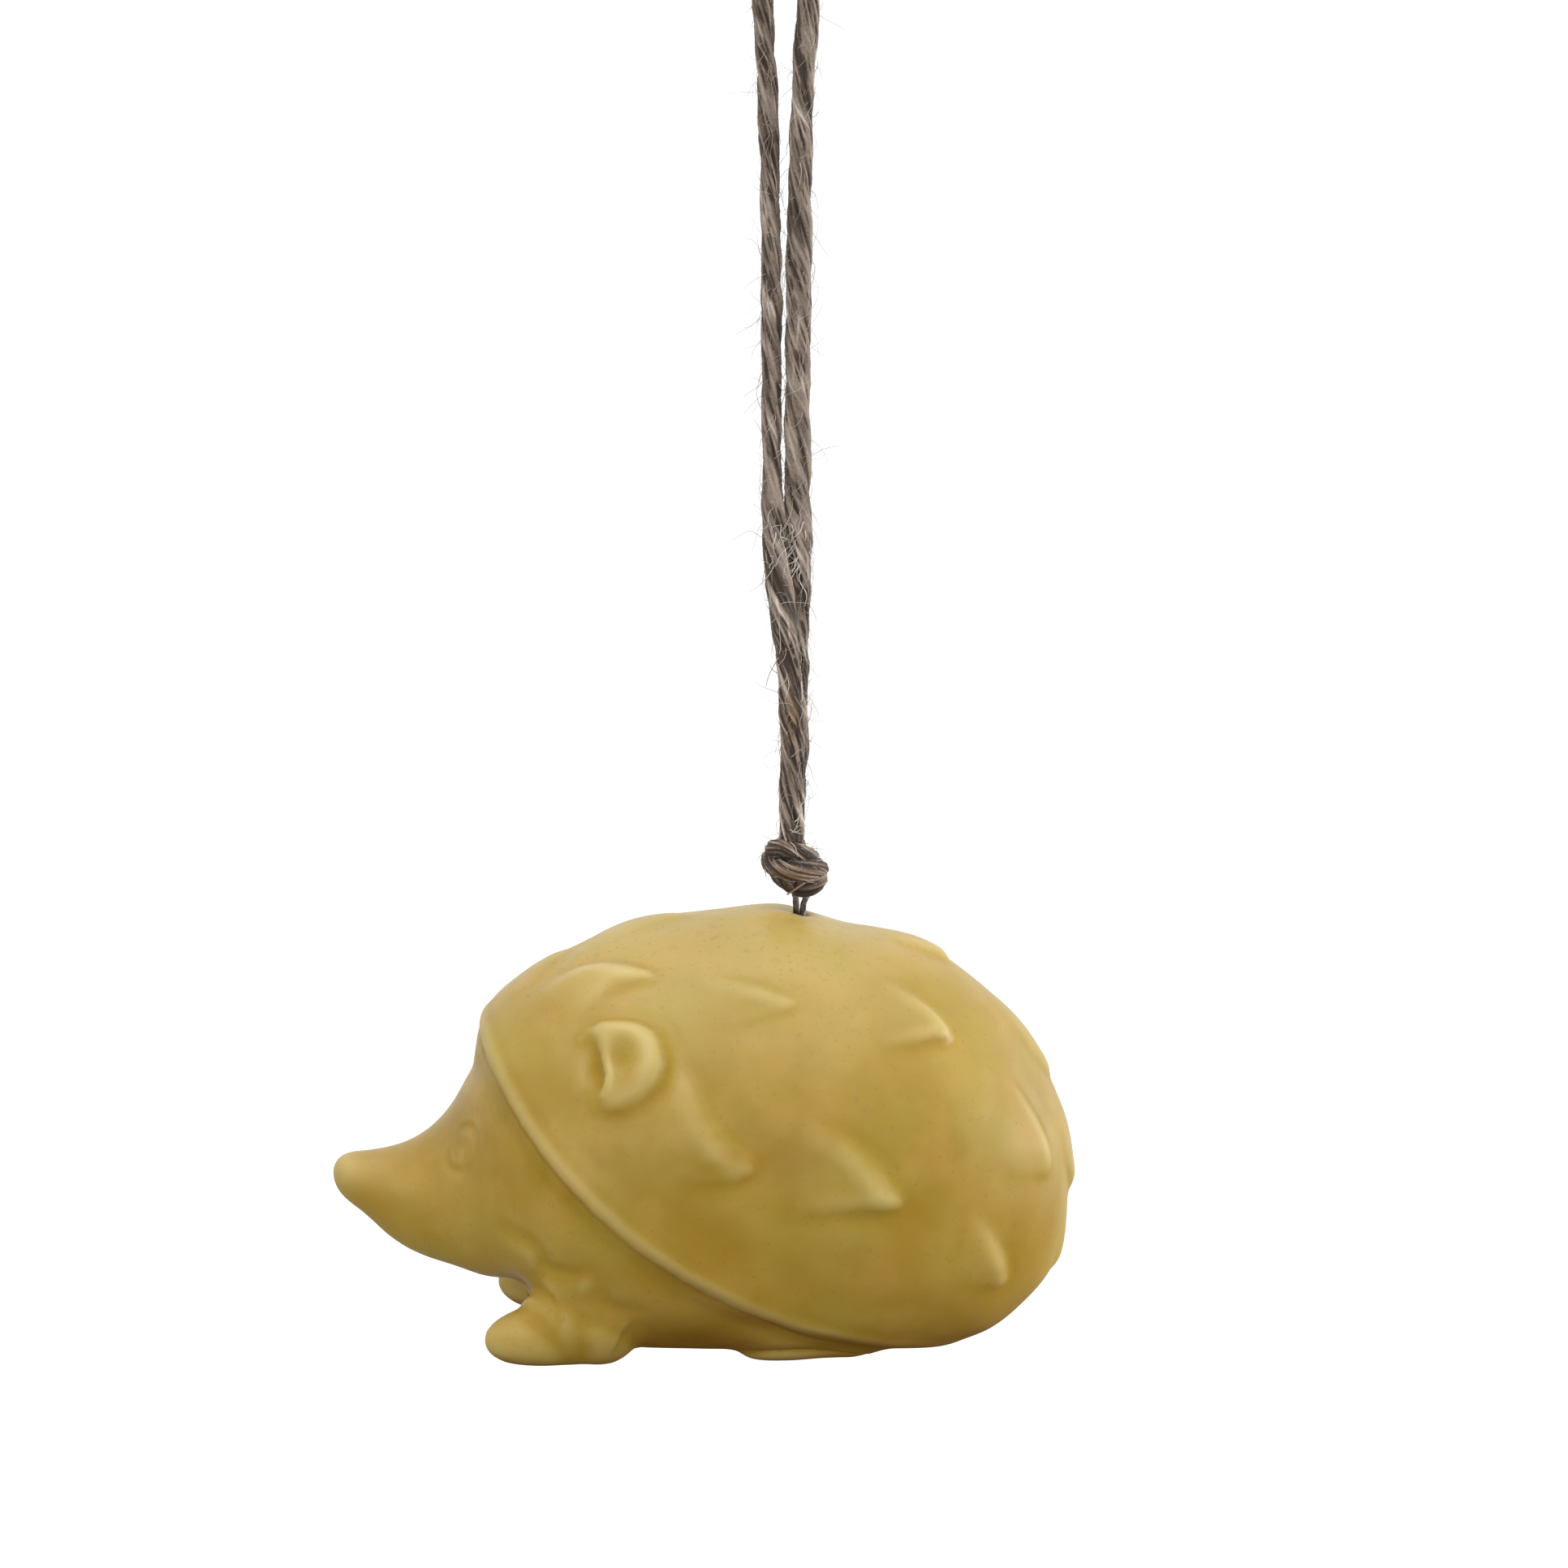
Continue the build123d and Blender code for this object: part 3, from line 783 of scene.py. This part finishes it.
# Gentle swellings and hollows, which aren't mirrored: place, reach in each direction, and how far
SWELLINGS = [
    ((-27.9, 0, 26.6), (2.2, 7, 1.9), 0.38),
    ((-27.6, 0, 24), (1.4, 6, 1.1), -0.45),
    ((4.4, 0, 37.6), (3, 9, 2), -0.66),
    ((11.5, 0, 35), (3.4, 9, 2.6), 0.28),
    ((-24, 0, 32), (5, 7, 3), -0.22),
    ((23.4, 0, 21.5), (2.4, 8, 5), 0.24),
    ((-26, 11, 2.2), (2.4, 4, 2.4), 0.1),
    ((-26.2, -11, 3.8), (2.4, 4, 1.8), -0.2),
    ((-27.4, -11, 0.8), (1.8, 4, 1.2), 0.18),
    ((-13.8, 0, 36), (4, 6, 2), 0.26),
    ((19.8, 0, 28), (3, 8, 3), 0.14),
    ((-10.2, 0, 0.9), (6, 9, 1.6), 0.46),
    ((6.2, 9, 0.8), (2.4, 4, 1.2), 0.55),
    ((6.2, -9, 0.8), (2.4, 4, 1.2), 0.55),
    ((-0.4, 11.5, 2.6), (4.5, 4, 1.7), 0.9),
    ((-0.4, -11.5, 2.6), (4.5, 4, 1.7), 0.9),
    ((-40.2, 0, 14.6), (2.2, 2.6, 1.6), 0.22),
    ((-39, 0, 17.2), (2.6, 2.4, 1.2), -0.14),
    ((-26, 0, 8.4), (2.4, 9, 1.8), -0.34),
    ((21.8, 0, 7), (2.8, 9, 3.2), 0.44),
    ((13, 0, 1.6), (5.5, 9, 1.8), -0.42),
    ((24.3, 0, 18), (1.6, 8, 5), -0.2),
]


def swell(skin):
    for place, reach, height in SWELLINGS:
        skin.points += skin.normals * (height * bell_around(skin.points, place, reach))[:, None]


def fill_creases(skin, turns, weight=None):
    """Round out concave creases and leave what stands proud."""
    smooth = skin.averaged(skin.points, turns)
    lift = np.maximum(((smooth - skin.points) * skin.normals).sum(1), 0)
    lift = skin.averaged(lift, 3)[:, 0]
    if weight is not None:
        lift *= weight
    skin.points = skin.points + skin.normals * lift[:, None]
    skin.read_normals()


def remeshed(body, size):
    """The body's mesh after an even voxel remesh."""
    remesh = body.modifiers.new("even", "REMESH")
    remesh.mode = "VOXEL"
    remesh.voxel_size = size
    remesh.use_smooth_shade = True
    bpy.context.view_layer.update()
    shape = body.evaluated_get(bpy.context.evaluated_depsgraph_get())
    data = bpy.data.meshes.new_from_object(shape)
    body.modifiers.clear()
    body.data = data
    return Skin(data)


def weld(data):
    """Join vertices that lie together, so that the skin is closed."""
    mesh = bmesh.new()
    mesh.from_mesh(data)
    bmesh.ops.remove_doubles(mesh, verts=mesh.verts, dist=0.000002)
    mesh.to_mesh(data)
    mesh.free()


def behind_hood(skin):
    """How far the skin's points lie behind the front edge of the coat."""
    x, _, z = skin.points.T
    return HOOD_RADIUS - np.hypot(x - HOOD_CENTRE[0], z - HOOD_CENTRE[1])


def soften(skin):
    """Round out creases: a little all over, and more at the limbs, the coat's edge and the feet."""
    skin.points = skin.averaged(skin.points, 9)
    skin.read_normals()
    _, y, z = skin.points.T
    limbs = soft_step(10.0 - z, 0, 2.5) * soft_step(np.abs(y), 3, 6)
    fill_creases(skin, 14)
    fill_creases(skin, 120, limbs)
    x, y, z = skin.points.T
    behind = behind_hood(skin)
    edge = soft_step(behind, -4, -2) * soft_step(2 - behind, 0, 1) * (0.40 + 0.6 * soft_step(z, 2, 10))
    fill_creases(skin, 160, edge)
    feet = soft_step(x, -1, 4) * soft_step(17 - x, 0, 3)
    feet = feet * soft_step(5.5 - z, 0, 2.5) * soft_step(np.abs(y), 3, 6)
    skin.points = skin.points + feet[:, None] * (skin.averaged(skin.points, 110) - skin.points)


def hood_rim(skin):
    """The coat's front edge: a soft bead with a faint hollow behind it."""
    _, y, z = skin.points.T
    behind = behind_hood(skin)
    outer = soft_step(skin.normals[:, 1] * y + skin.normals[:, 2] * (z - 18), 0, 2)
    rim = 0.20 * bell(behind - 0.7, 0.65) + 0.12 * bell(behind - 1.6, 1.5)
    rim -= 0.07 * bell(behind - 4.6, 1.8)
    rim += 0.15 * bell(behind + 0.5, 0.65) * soft_step(z, 2, 9)
    return rim * outer


def pressed_relief(skin):
    """How far each point of the skin moves outwards for the quills, ears, face, arms and rim."""
    relief = np.zeros(len(skin.points))
    for *edges, height, soft_upper, soft_lower in QUILLS:
        for turn in (1, -1):
            upper, tip, lower = (mirrored(edge, turn) for edge in edges)
            press_quill(skin, relief, upper, tip, lower, height, soft_upper, soft_lower)
    for tip, root, half_width, height, soft in RIDGE_QUILLS:
        press_quill(skin, relief, *ridge_outline(tip, root, half_width), height, soft, soft)
    relief = skin.averaged(relief, 11)[:, 0]
    for turn in (1, -1):
        for press in (press_ear, press_jaw, press_arm, press_eye):
            press(skin, relief, turn)
    relief = relief + hood_rim(skin)
    relief *= soft_step(np.hypot(*skin.points.T[:2]), 1.2, 3.0)
    return skin.averaged(relief, 3)[:, 0]


def proud_shade(skin, relief):
    """Where the relief stands proud, apart from the ears' dimples."""
    proud = soft_step(skin.averaged(relief, 8)[:, 0], 0.15, 0.9)
    for turn in (1, -1):
        away = np.linalg.norm(skin.points - mirrored(EAR_DIMPLE, turn), axis=1)
        proud *= 1 - np.exp(-(away / 2.1) ** 4)
    return proud


def edge_shade(skin):
    """Where the skin bends outwards, and less than nothing where it bends inwards."""
    bend = ((skin.points - skin.averaged(skin.points, 20)) * skin.normals).sum(1)
    return np.clip(bend / 0.12, -1, 1)


def painted_shade_below(skin):
    """Painted shade: darker under the body's middle, below the coat's rim and low on the underside."""
    x, _, z = skin.points.T
    down = -skin.normals[:, 2]
    painted_shade = 0.75 * soft_step(down, 0.1, 0.8) * bell(x + 9, 7.5) * soft_step(6.5 - z, 0, 4)
    below_rim = bell(behind_hood(skin) + 0.1, 0.8) * soft_step(down, 0.12, 0.5)
    painted_shade = np.maximum(painted_shade, (0.08 + 0.32 * soft_step(14 - z, 0, 7)) * below_rim)
    under = soft_step(down, 0.35, 0.95) * soft_step(9 - z, 0, 5)
    return np.maximum(painted_shade, 0.8 * under)


def carve_body(name, node):
    """A finely remeshed copy of the solid's surface, with the relief pressed into it."""
    body = add_object(name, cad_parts[node].data.copy())
    body.data.materials.clear()
    weld(body.data)
    skin = remeshed(body, COARSE_VOXEL)
    for turn in (1, -1):
        smooth_away(skin, mirrored(EAR_CENTRE, turn), 4.6, 5.4)
    skin.write()
    skin = remeshed(body, FINE_VOXEL)
    soften(skin)
    swell(skin)
    hollow_throat(skin)
    skin.read_normals()
    relief = pressed_relief(skin)
    set_attribute(body, "proud", proud_shade(skin, relief))
    skin.points = skin.points + skin.normals * relief[:, None]
    x, _, z = skin.points.T
    sole = 0.50 * bell(x - 0.6, 4.4)
    skin.points[:, 2] = np.maximum(z, 0) + sole * soft_step(4.5 - z, 0, 4.5)
    skin.read_normals()
    set_attribute(body, "edge", edge_shade(skin))
    set_attribute(body, "painted_shade", painted_shade_below(skin))
    skin.write()
    body.data.shade_smooth()
    return body


# The glaze's colour up the body from the soles, in bands and palest at the top: partly the glaze's own change
# and partly painted light and shade.
GLAZE_STOPS = [
    (0.13, (0.335, 0.188, 0.018)),
    (0.30, (0.400, 0.240, 0.031)),
    (0.55, (0.322, 0.194, 0.015)),
    (0.84, (0.385, 0.252, 0.037)),
    (1.00, (0.555, 0.410, 0.132)),
]

# Mottles and speckles: a noise's scale and detail, the range of it that shows, strength and colour
GLAZE_MOTTLES = [
    (130, 3, 0.40, 0.62, 0.50, (0.405, 0.300, 0.050)),
    (170, 3, 0.46, 0.66, 0.40, (0.500, 0.300, 0.062)),
    (900, 2, 0.57, 0.78, 0.40, (0.34, 0.225, 0.040)),
    (2300, 1, 0.65, 0.76, 0.42, (0.25, 0.17, 0.035)),
]


def glaze_material():
    """Satin mustard glaze, mottled and faintly speckled. Paler higher up and on raised edges and darker in
    creases, partly the glaze's own and partly painted light and shade; paler on proud relief; painted shade
    under the body.
    """
    glaze = new_material("glaze")
    noise, mixed, ranged = glaze.noise, glaze.mixed, glaze.ranged
    height = glaze.add("ShaderNodeSeparateXYZ", {"Vector": glaze.place}, "Z")
    # Colour by height, partly painted light and shade.
    level = ranged(height, SOLE_Z * MM, (SOLE_Z + 39) * MM, 0, 0.86)
    colour = glaze.ramp(glaze.math("MULTIPLY_ADD", noise(60, 2), 0.24, level), GLAZE_STOPS)
    for scale, detail, low, high, strength, tone in GLAZE_MOTTLES:
        colour = mixed(ranged(noise(scale, detail), low, high, 0, strength), colour, tone)
    edge, proud, painted_shade = (glaze.attribute(name) for name in ("edge", "proud", "painted_shade"))
    for mark, low, high, strength, tone in (
        # Paler on raised edges: partly the glaze breaking thin, partly a painted highlight.
        (edge, 0.03, 0.8, 0.42, (0.68, 0.54, 0.22)),
        # Darker in creases: partly pooled glaze, partly painted shade.
        (edge, -0.1, -1.0, 0.16, (0.27, 0.16, 0.025)),
        (proud, 0, 1, 0.26, (0.60, 0.46, 0.17)),
        # Painted shade under the body, below the coat's rim and low on the underside.
        (painted_shade, 0, 1, 0.9, (0.165, 0.058, 0.003)),
    ):
        colour = mixed(ranged(mark, low, high, 0, strength), colour, tone)
    normal = glaze.add("ShaderNodeNewGeometry", {}, "Normal")
    upward = glaze.add("ShaderNodeSeparateXYZ", {"Vector": normal}, "Z")
    # The sheen: less low down, in creases, in the painted shade under the body and on faces turned down.
    shine = ranged(height, (SOLE_Z + 2) * MM, (SOLE_Z + 13) * MM, 0.12, 0.32)
    for dulling in (
        ranged(edge, -0.9, -0.1, 0.3, 1),
        ranged(painted_shade, 0, 0.8, 1, 0),
        ranged(upward, -0.3, 0.85, 0.15, 1.4),
    ):
        shine = glaze.math("MULTIPLY", shine, dulling)
    glaze.fill(glaze.shader, {
        "Base Color": colour,
        "Roughness": ranged(noise(350, 2), 0.3, 0.7, 0.42, 0.52),
        "Normal": glaze.bump(noise(1400, 3), 0.35, 0.00004),
        "Specular IOR Level": shine,
        "Coat Weight": ranged(shine, 0.1, 0.5, 0, 0.22),
        "Coat Roughness": 0.25,
    })
    return glaze.owner


body = carve_body("carved_body", "ceramic_body")
body.data.materials.append(glaze_material())
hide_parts("ceramic_body")
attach(body, "hedgehog")


# The loop of twine: thin and tight at the top, fuller where the two strands lie together

loop_line, loop_places = even_line(LOOP_ROUTE, LOOP_STEP)
top_row = int(np.argmax(loop_line[:, 2]))
heights = loop_line[:, 2]
left_radius = np.interp(
    heights, [-78, -62, -54, -50, -44, -10, 2], [1.04, 1.06, 1.16, 1.06, 0.86, 0.85, 0.88]
)
right_radius = np.interp(
    heights, [-78, -62, -54, -46, -30, -10, 2], [1.06, 1.06, 1.16, 1.14, 1.12, 0.98, 0.88]
)
loop_radius = np.where(np.arange(len(heights)) < top_row, left_radius, right_radius)
loop_radius = np.convolve(np.pad(loop_radius, 12, mode="edge"), np.ones(25) / 25, mode="valid")


def stain(thing, patches, base=0.0):
    """Rusty patches: each a place, its reach in each direction and its strength."""
    flat = np.empty(len(thing.data.vertices) * 3, np.float32)
    thing.data.vertices.foreach_get("co", flat)
    points = flat.reshape(-1, 3) / MM
    rust = sum(size * bell_around(points, place, reach) for place, reach, size in patches)
    set_attribute(thing, "rust", np.clip(rust + base, 0, 1))


loop_rings, loop_shade = twine_rings(loop_line, loop_places, loop_radius, LOOP_LAY, 11, around=80)
# Lower on the loop the twine is darker, and its painted crevice shade is deeper.
lower_loop = soft_step(-heights, 44, 62)[:, None]
loop_shade = 0.40 + (loop_shade - 0.5) * (1 + 0.75 * lower_loop) - 0.08 * lower_loop
loop_twine = twine_mesh("loop_twine", [(loop_rings, loop_shade)], JUTE)
stain(loop_twine, [
    ((0.75, -1.3, -66.0), (0.80, 1.3, 2.7), 1.1), ((1.05, -1.4, -56.5), (0.35, 1.1, 2.4), 0.7),
])
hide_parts("twine_loop")
loop_hairs = stray_hairs("loop_hairs", loop_line, loop_places, loop_radius, 12, 4.6, 3.6, [
    (-51.4, 2.4, 38), (-61.8, 1.3, 14), (-76.6, 0.8, 10),
])

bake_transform(loop_twine)
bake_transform(loop_hairs)


# The knot: the doubled twine wound round itself, drawn tight over the wire's eye

KNOT_WRAP = [
    (0.6, 0.6, -77.9), (-0.6, 0.5, -78.2), (-1.25, -0.3, -78.75), (-0.95, -1.15, -78.2), (-0.1, -1.6, -78),
    (0.9, -1.75, -78.3), (1.8, -1.5, -78.75), (2.35, -0.6, -79.1), (2.3, 0.7, -79.2), (1.3, 1.6, -79.1),
    (0, 1.7, -79), (-1, 1, -79), (-1.3, 0, -79.2), (-1.2, -0.8, -79.55), (-0.6, -1.5, -79.95),
    (0.5, -1.85, -80.2), (1.6, -1.8, -80.1), (2.65, -1.2, -80), (3, 0, -80.2), (2.2, 1.2, -80.4),
    (0.9, 1.7, -80.5), (-0.4, 1.3, -80.3), (-1, 0.4, -80),
]
KNOT_TAPER = [
    (-0.95, -0.4, -79.7), (-0.6, -0.8, -80.35), (-0.05, -1, -81), (0.5, -0.9, -81.6), (1, -0.5, -82),
]
KNOT_LOBE = [
    (0.9, -0.5, -81.9), (1.45, -1.1, -81.9), (2.25, -1.35, -81.7), (3, -0.9, -81.2), (3.15, 0.1, -81),
    (2.1, 1, -81.2), (0.9, 1.1, -81.4), (0, 0.4, -81.5),
]
KNOT_FIBRE = [(0.2, -1.3, -82.3), (0.7, -1.75, -81.95), (1.2, -2.15, -81.5), (1.75, -2.45, -81.1)]
KNOT_CORE = [(0.5, 0, -77.3), (0.6, 0, -79), (0.95, 0, -80.6), (1.2, 0, -82)]
KNOT_TAIL = [(0.58, 1.08, -76.7), (0.55, 1.02, -77.6), (0.6, 0.85, -78.6), (0.8, 0.5, -79.6)]


def plain_rings(route, radius, seed, around):
    """Grid points of a smooth strand with faint dents along it."""
    random = np.random.default_rng(seed)
    line, places = even_line(route, FINE_STEP)
    angle = circle(around)[None, :]
    dents = sum(
        0.045 * radius * np.sin(places[:, None] * 2 * math.pi / wave + turns * angle + random.uniform(0, 6.28))
        for wave, turns in ((2.9, 1), (1.3, 2), (0.7, 3))
    )
    return rings_around(line, radius + dents, around)


def knot_strand(route, radius, seed):
    line, places = even_line(route, KNOT_STEP)
    return twine_rings(line, places, radius, KNOT_LAY, seed, ends=0.5, fibres=32)


wrap_line, wrap_places = even_line(KNOT_WRAP, KNOT_STEP)
wrap_radius = np.interp(
    wrap_places / wrap_places[-1],
    [0, 0.10, 0.16, 0.26, 0.45, 0.58, 0.68, 0.85, 1],
    [0.5, 0.7, 0.68, 0.62, 0.66, 0.80, 0.92, 0.9, 0.7],
)
core_line, core_places = even_line(KNOT_CORE, KNOT_STEP)
core_radius = np.interp(core_places, [0, 1.5, core_places[-1] - 1.2, core_places[-1]], [1.15, 1.40, 1.20, 0.5])
knot_parts = [
    twine_rings(wrap_line, wrap_places, wrap_radius, KNOT_LAY, 21, around=90, ends=0.5, fibres=34),
    knot_strand(KNOT_TAPER, 0.68, 25),
    knot_strand(KNOT_LOBE, 0.66, 22),
    twine_rings(core_line, core_places, core_radius, LOOP_LAY, 23, around=48),
    knot_strand(KNOT_TAIL, 0.98, 27),
]
fibre_rings = plain_rings(KNOT_FIBRE, 0.075, 26, 12)
# The knot's strands are darker than the loop's, and their painted crevice shade is deeper.
knot_parts = [(rings, 0.5 + (shade - 0.5) * 1.6 - 0.33) for rings, shade in knot_parts]
# A pale fibre over the knot, partly its own tone and partly a painted highlight.
knot_parts.append((fibre_rings, np.full(fibre_rings.shape[:2], 0.75)))
knot_twine = twine_mesh("knot_twine", knot_parts, JUTE)
stain(knot_twine, [
    ((-1.6, -1.0, -79.2), (0.60, 1.0, 0.60), 0.9), ((1.0, -2.6, -80.5), (1.5, 0.9, 0.70), 0.55),
    ((-0.3, -2.2, -80.4), (0.9, 0.9, 0.8), 0.5), ((1.4, -1.6, -82.0), (1.2, 0.8, 0.5), 0.6),
], base=0.22)
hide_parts("twine_knot")
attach(knot_twine, "knot")
knot_hairs = stray_hairs("knot_hairs", wrap_line, wrap_places, wrap_radius, 24, 5.5, 1.7)
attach(knot_hairs, "knot")


# The wire hanger: one bent wire, in dark oxidised steel

def wire_material():
    """Dark wire: near-black scale with a brown bloom and fine scratches."""
    wire = new_material("dark_wire")
    bloom = wire.noise(1400, 4)
    wire.fill(wire.shader, {
        "Base Color": wire.ramp(bloom, [
            (0.34, (0.018, 0.016, 0.016)), (0.50, (0.085, 0.072, 0.062)), (0.64, (0.300, 0.250, 0.210)),
        ]),
        "Roughness": wire.ranged(bloom, 0, 1, 0.38, 0.62),
        "Normal": wire.bump(wire.noise(6000, 2), 0.4, 0.00002),
        "Metallic": 0.5,
    })
    return wire.owner


WIRE_ROUTE = [
    (-2.72, 0, -88.8), (-1, 0, -88.33), (0.45, 0, -87.93), (0.96, 0, -87.4), (0.96, 0, -86), (0.96, 0, -84),
    (0.95, 0, -83.2), (0.86, 0, -82.5), (0.62, 0, -81.8), (0.4, 0, -81.1), (0.75, 0, -80.4), (1.25, 0, -80.2),
    (1.95, 0, -80.4), (2.35, 0, -81), (2.3, 0, -81.8), (2, 0, -82.5), (1.66, 0, -83.1), (1.52, 0, -83.8),
    (1.53, 0, -86), (1.54, 0, -87.4), (2.05, 0, -87.93), (3.5, 0, -88.33), (5.22, 0, -88.8),
]

wire_rings = plain_rings(WIRE_ROUTE, 0.270, 31, 20)
wire_shade = np.full(wire_rings.shape[:2], 0.5)
hanger_wire = twine_mesh("hanger_wire", [(wire_rings, wire_shade)], wire_material())
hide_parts("wire_hanger")
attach(hanger_wire, "hanger")


# Camera, at the photograph's viewing angle: degrees round and above, and millimetres

CAMERA_AZIMUTH, CAMERA_ELEVATION = math.radians(1), math.radians(9)
CAMERA_DISTANCE = 600.0
FRAME_WIDTH = 137.5
SENSOR_WIDTH = 36
AIM = (-0.10, 0, SOLE_Z + 49.5)


def place_camera():
    forward = Vector((
        -math.sin(CAMERA_AZIMUTH) * math.cos(CAMERA_ELEVATION),
        math.cos(CAMERA_AZIMUTH) * math.cos(CAMERA_ELEVATION),
        -math.sin(CAMERA_ELEVATION),
    ))
    data = bpy.data.cameras.new("camera")
    data.sensor_width = SENSOR_WIDTH
    data.lens = SENSOR_WIDTH * CAMERA_DISTANCE / FRAME_WIDTH
    data.clip_start = 0.01
    data.clip_end = 10
    camera = add_object("camera", data)
    camera.location = (Vector(AIM) - forward * CAMERA_DISTANCE) * MM
    camera.rotation_euler = forward.to_track_quat("-Z", "Y").to_euler()
    bpy.context.scene.camera = camera


place_camera()


# Pale floor, backdrop and soft studio light

FLOOR_GREY = (0.20, 0.20, 0.20)
FLOOR_GLOW = 0.92
FLOOR_BELOW_SOLES = 70
FLOOR_HALF_SIZE = 20000
WORLD_LIGHT = 0.48
WHITE = (1.0, 1.0, 1.0)


def backdrop_material():
    """Grey to lamps, and close to white to rays that are seen."""
    floor = Nodes(bpy.data.materials.new("backdrop"))
    shader = floor.nodes["Principled BSDF"]
    floor.fill(shader, {"Base Color": FLOOR_GREY, "Roughness": 0.9})
    glow = floor.add("ShaderNodeMixShader", {
        0: floor.seen_ray(),
        1: floor.add("ShaderNodeEmission", {"Strength": 0}),
        2: floor.add("ShaderNodeEmission", {"Color": WHITE, "Strength": FLOOR_GLOW}),
    })
    total = floor.add("ShaderNodeAddShader", {0: shader.outputs[0], 1: glow})
    floor.fill(floor.nodes["Material Output"], {"Surface": total})
    return floor.owner


def add_stage():
    size, floor_z = FLOOR_HALF_SIZE, SOLE_Z - FLOOR_BELOW_SOLES
    points = [(-size, -size, floor_z), (size, -size, floor_z), (size, size, floor_z), (-size, size, floor_z)]
    floor = add_mesh("floor", points, [(0, 1, 2, 3)], backdrop_material())


def add_lamp(name, place, aim, size, watts):
    data = bpy.data.lights.new(name, "AREA")
    data.shape = "RECTANGLE"
    data.size, data.size_y = size
    data.energy = watts
    lamp = add_object(name, data)
    lamp.location = place
    lamp.rotation_euler = (Vector(aim) - Vector(place)).to_track_quat("-Z", "Y").to_euler()


def add_world():
    world = Nodes(bpy.data.worlds.new("studio"))
    bpy.context.scene.world = world.owner
    light = world.nodes["Background"]
    world.fill(light, {"Color": WHITE, "Strength": WORLD_LIGHT})
    choice = world.add("ShaderNodeMixShader", {
        0: world.seen_ray(),
        1: light.outputs[0],
        2: world.add("ShaderNodeBackground", {"Color": WHITE, "Strength": 1}),
    })
    world.fill(world.nodes["World Output"], {"Surface": choice})


add_stage()
add_world()
add_lamp("top_light", (-0.05, -0.16, 0.42), (0, 0, -0.1), (0.7, 0.7), 2.65)
add_lamp("side_light", (0.50, 0.06, -0.16), (0, 0, -0.105), (0.5, 0.5), 4.2)
add_lamp("front_light", (-0.20, -0.52, -0.18), (0, 0, -0.105), (0.6, 0.6), 2.35)
bpy.context.scene.view_settings.view_transform = "Standard"
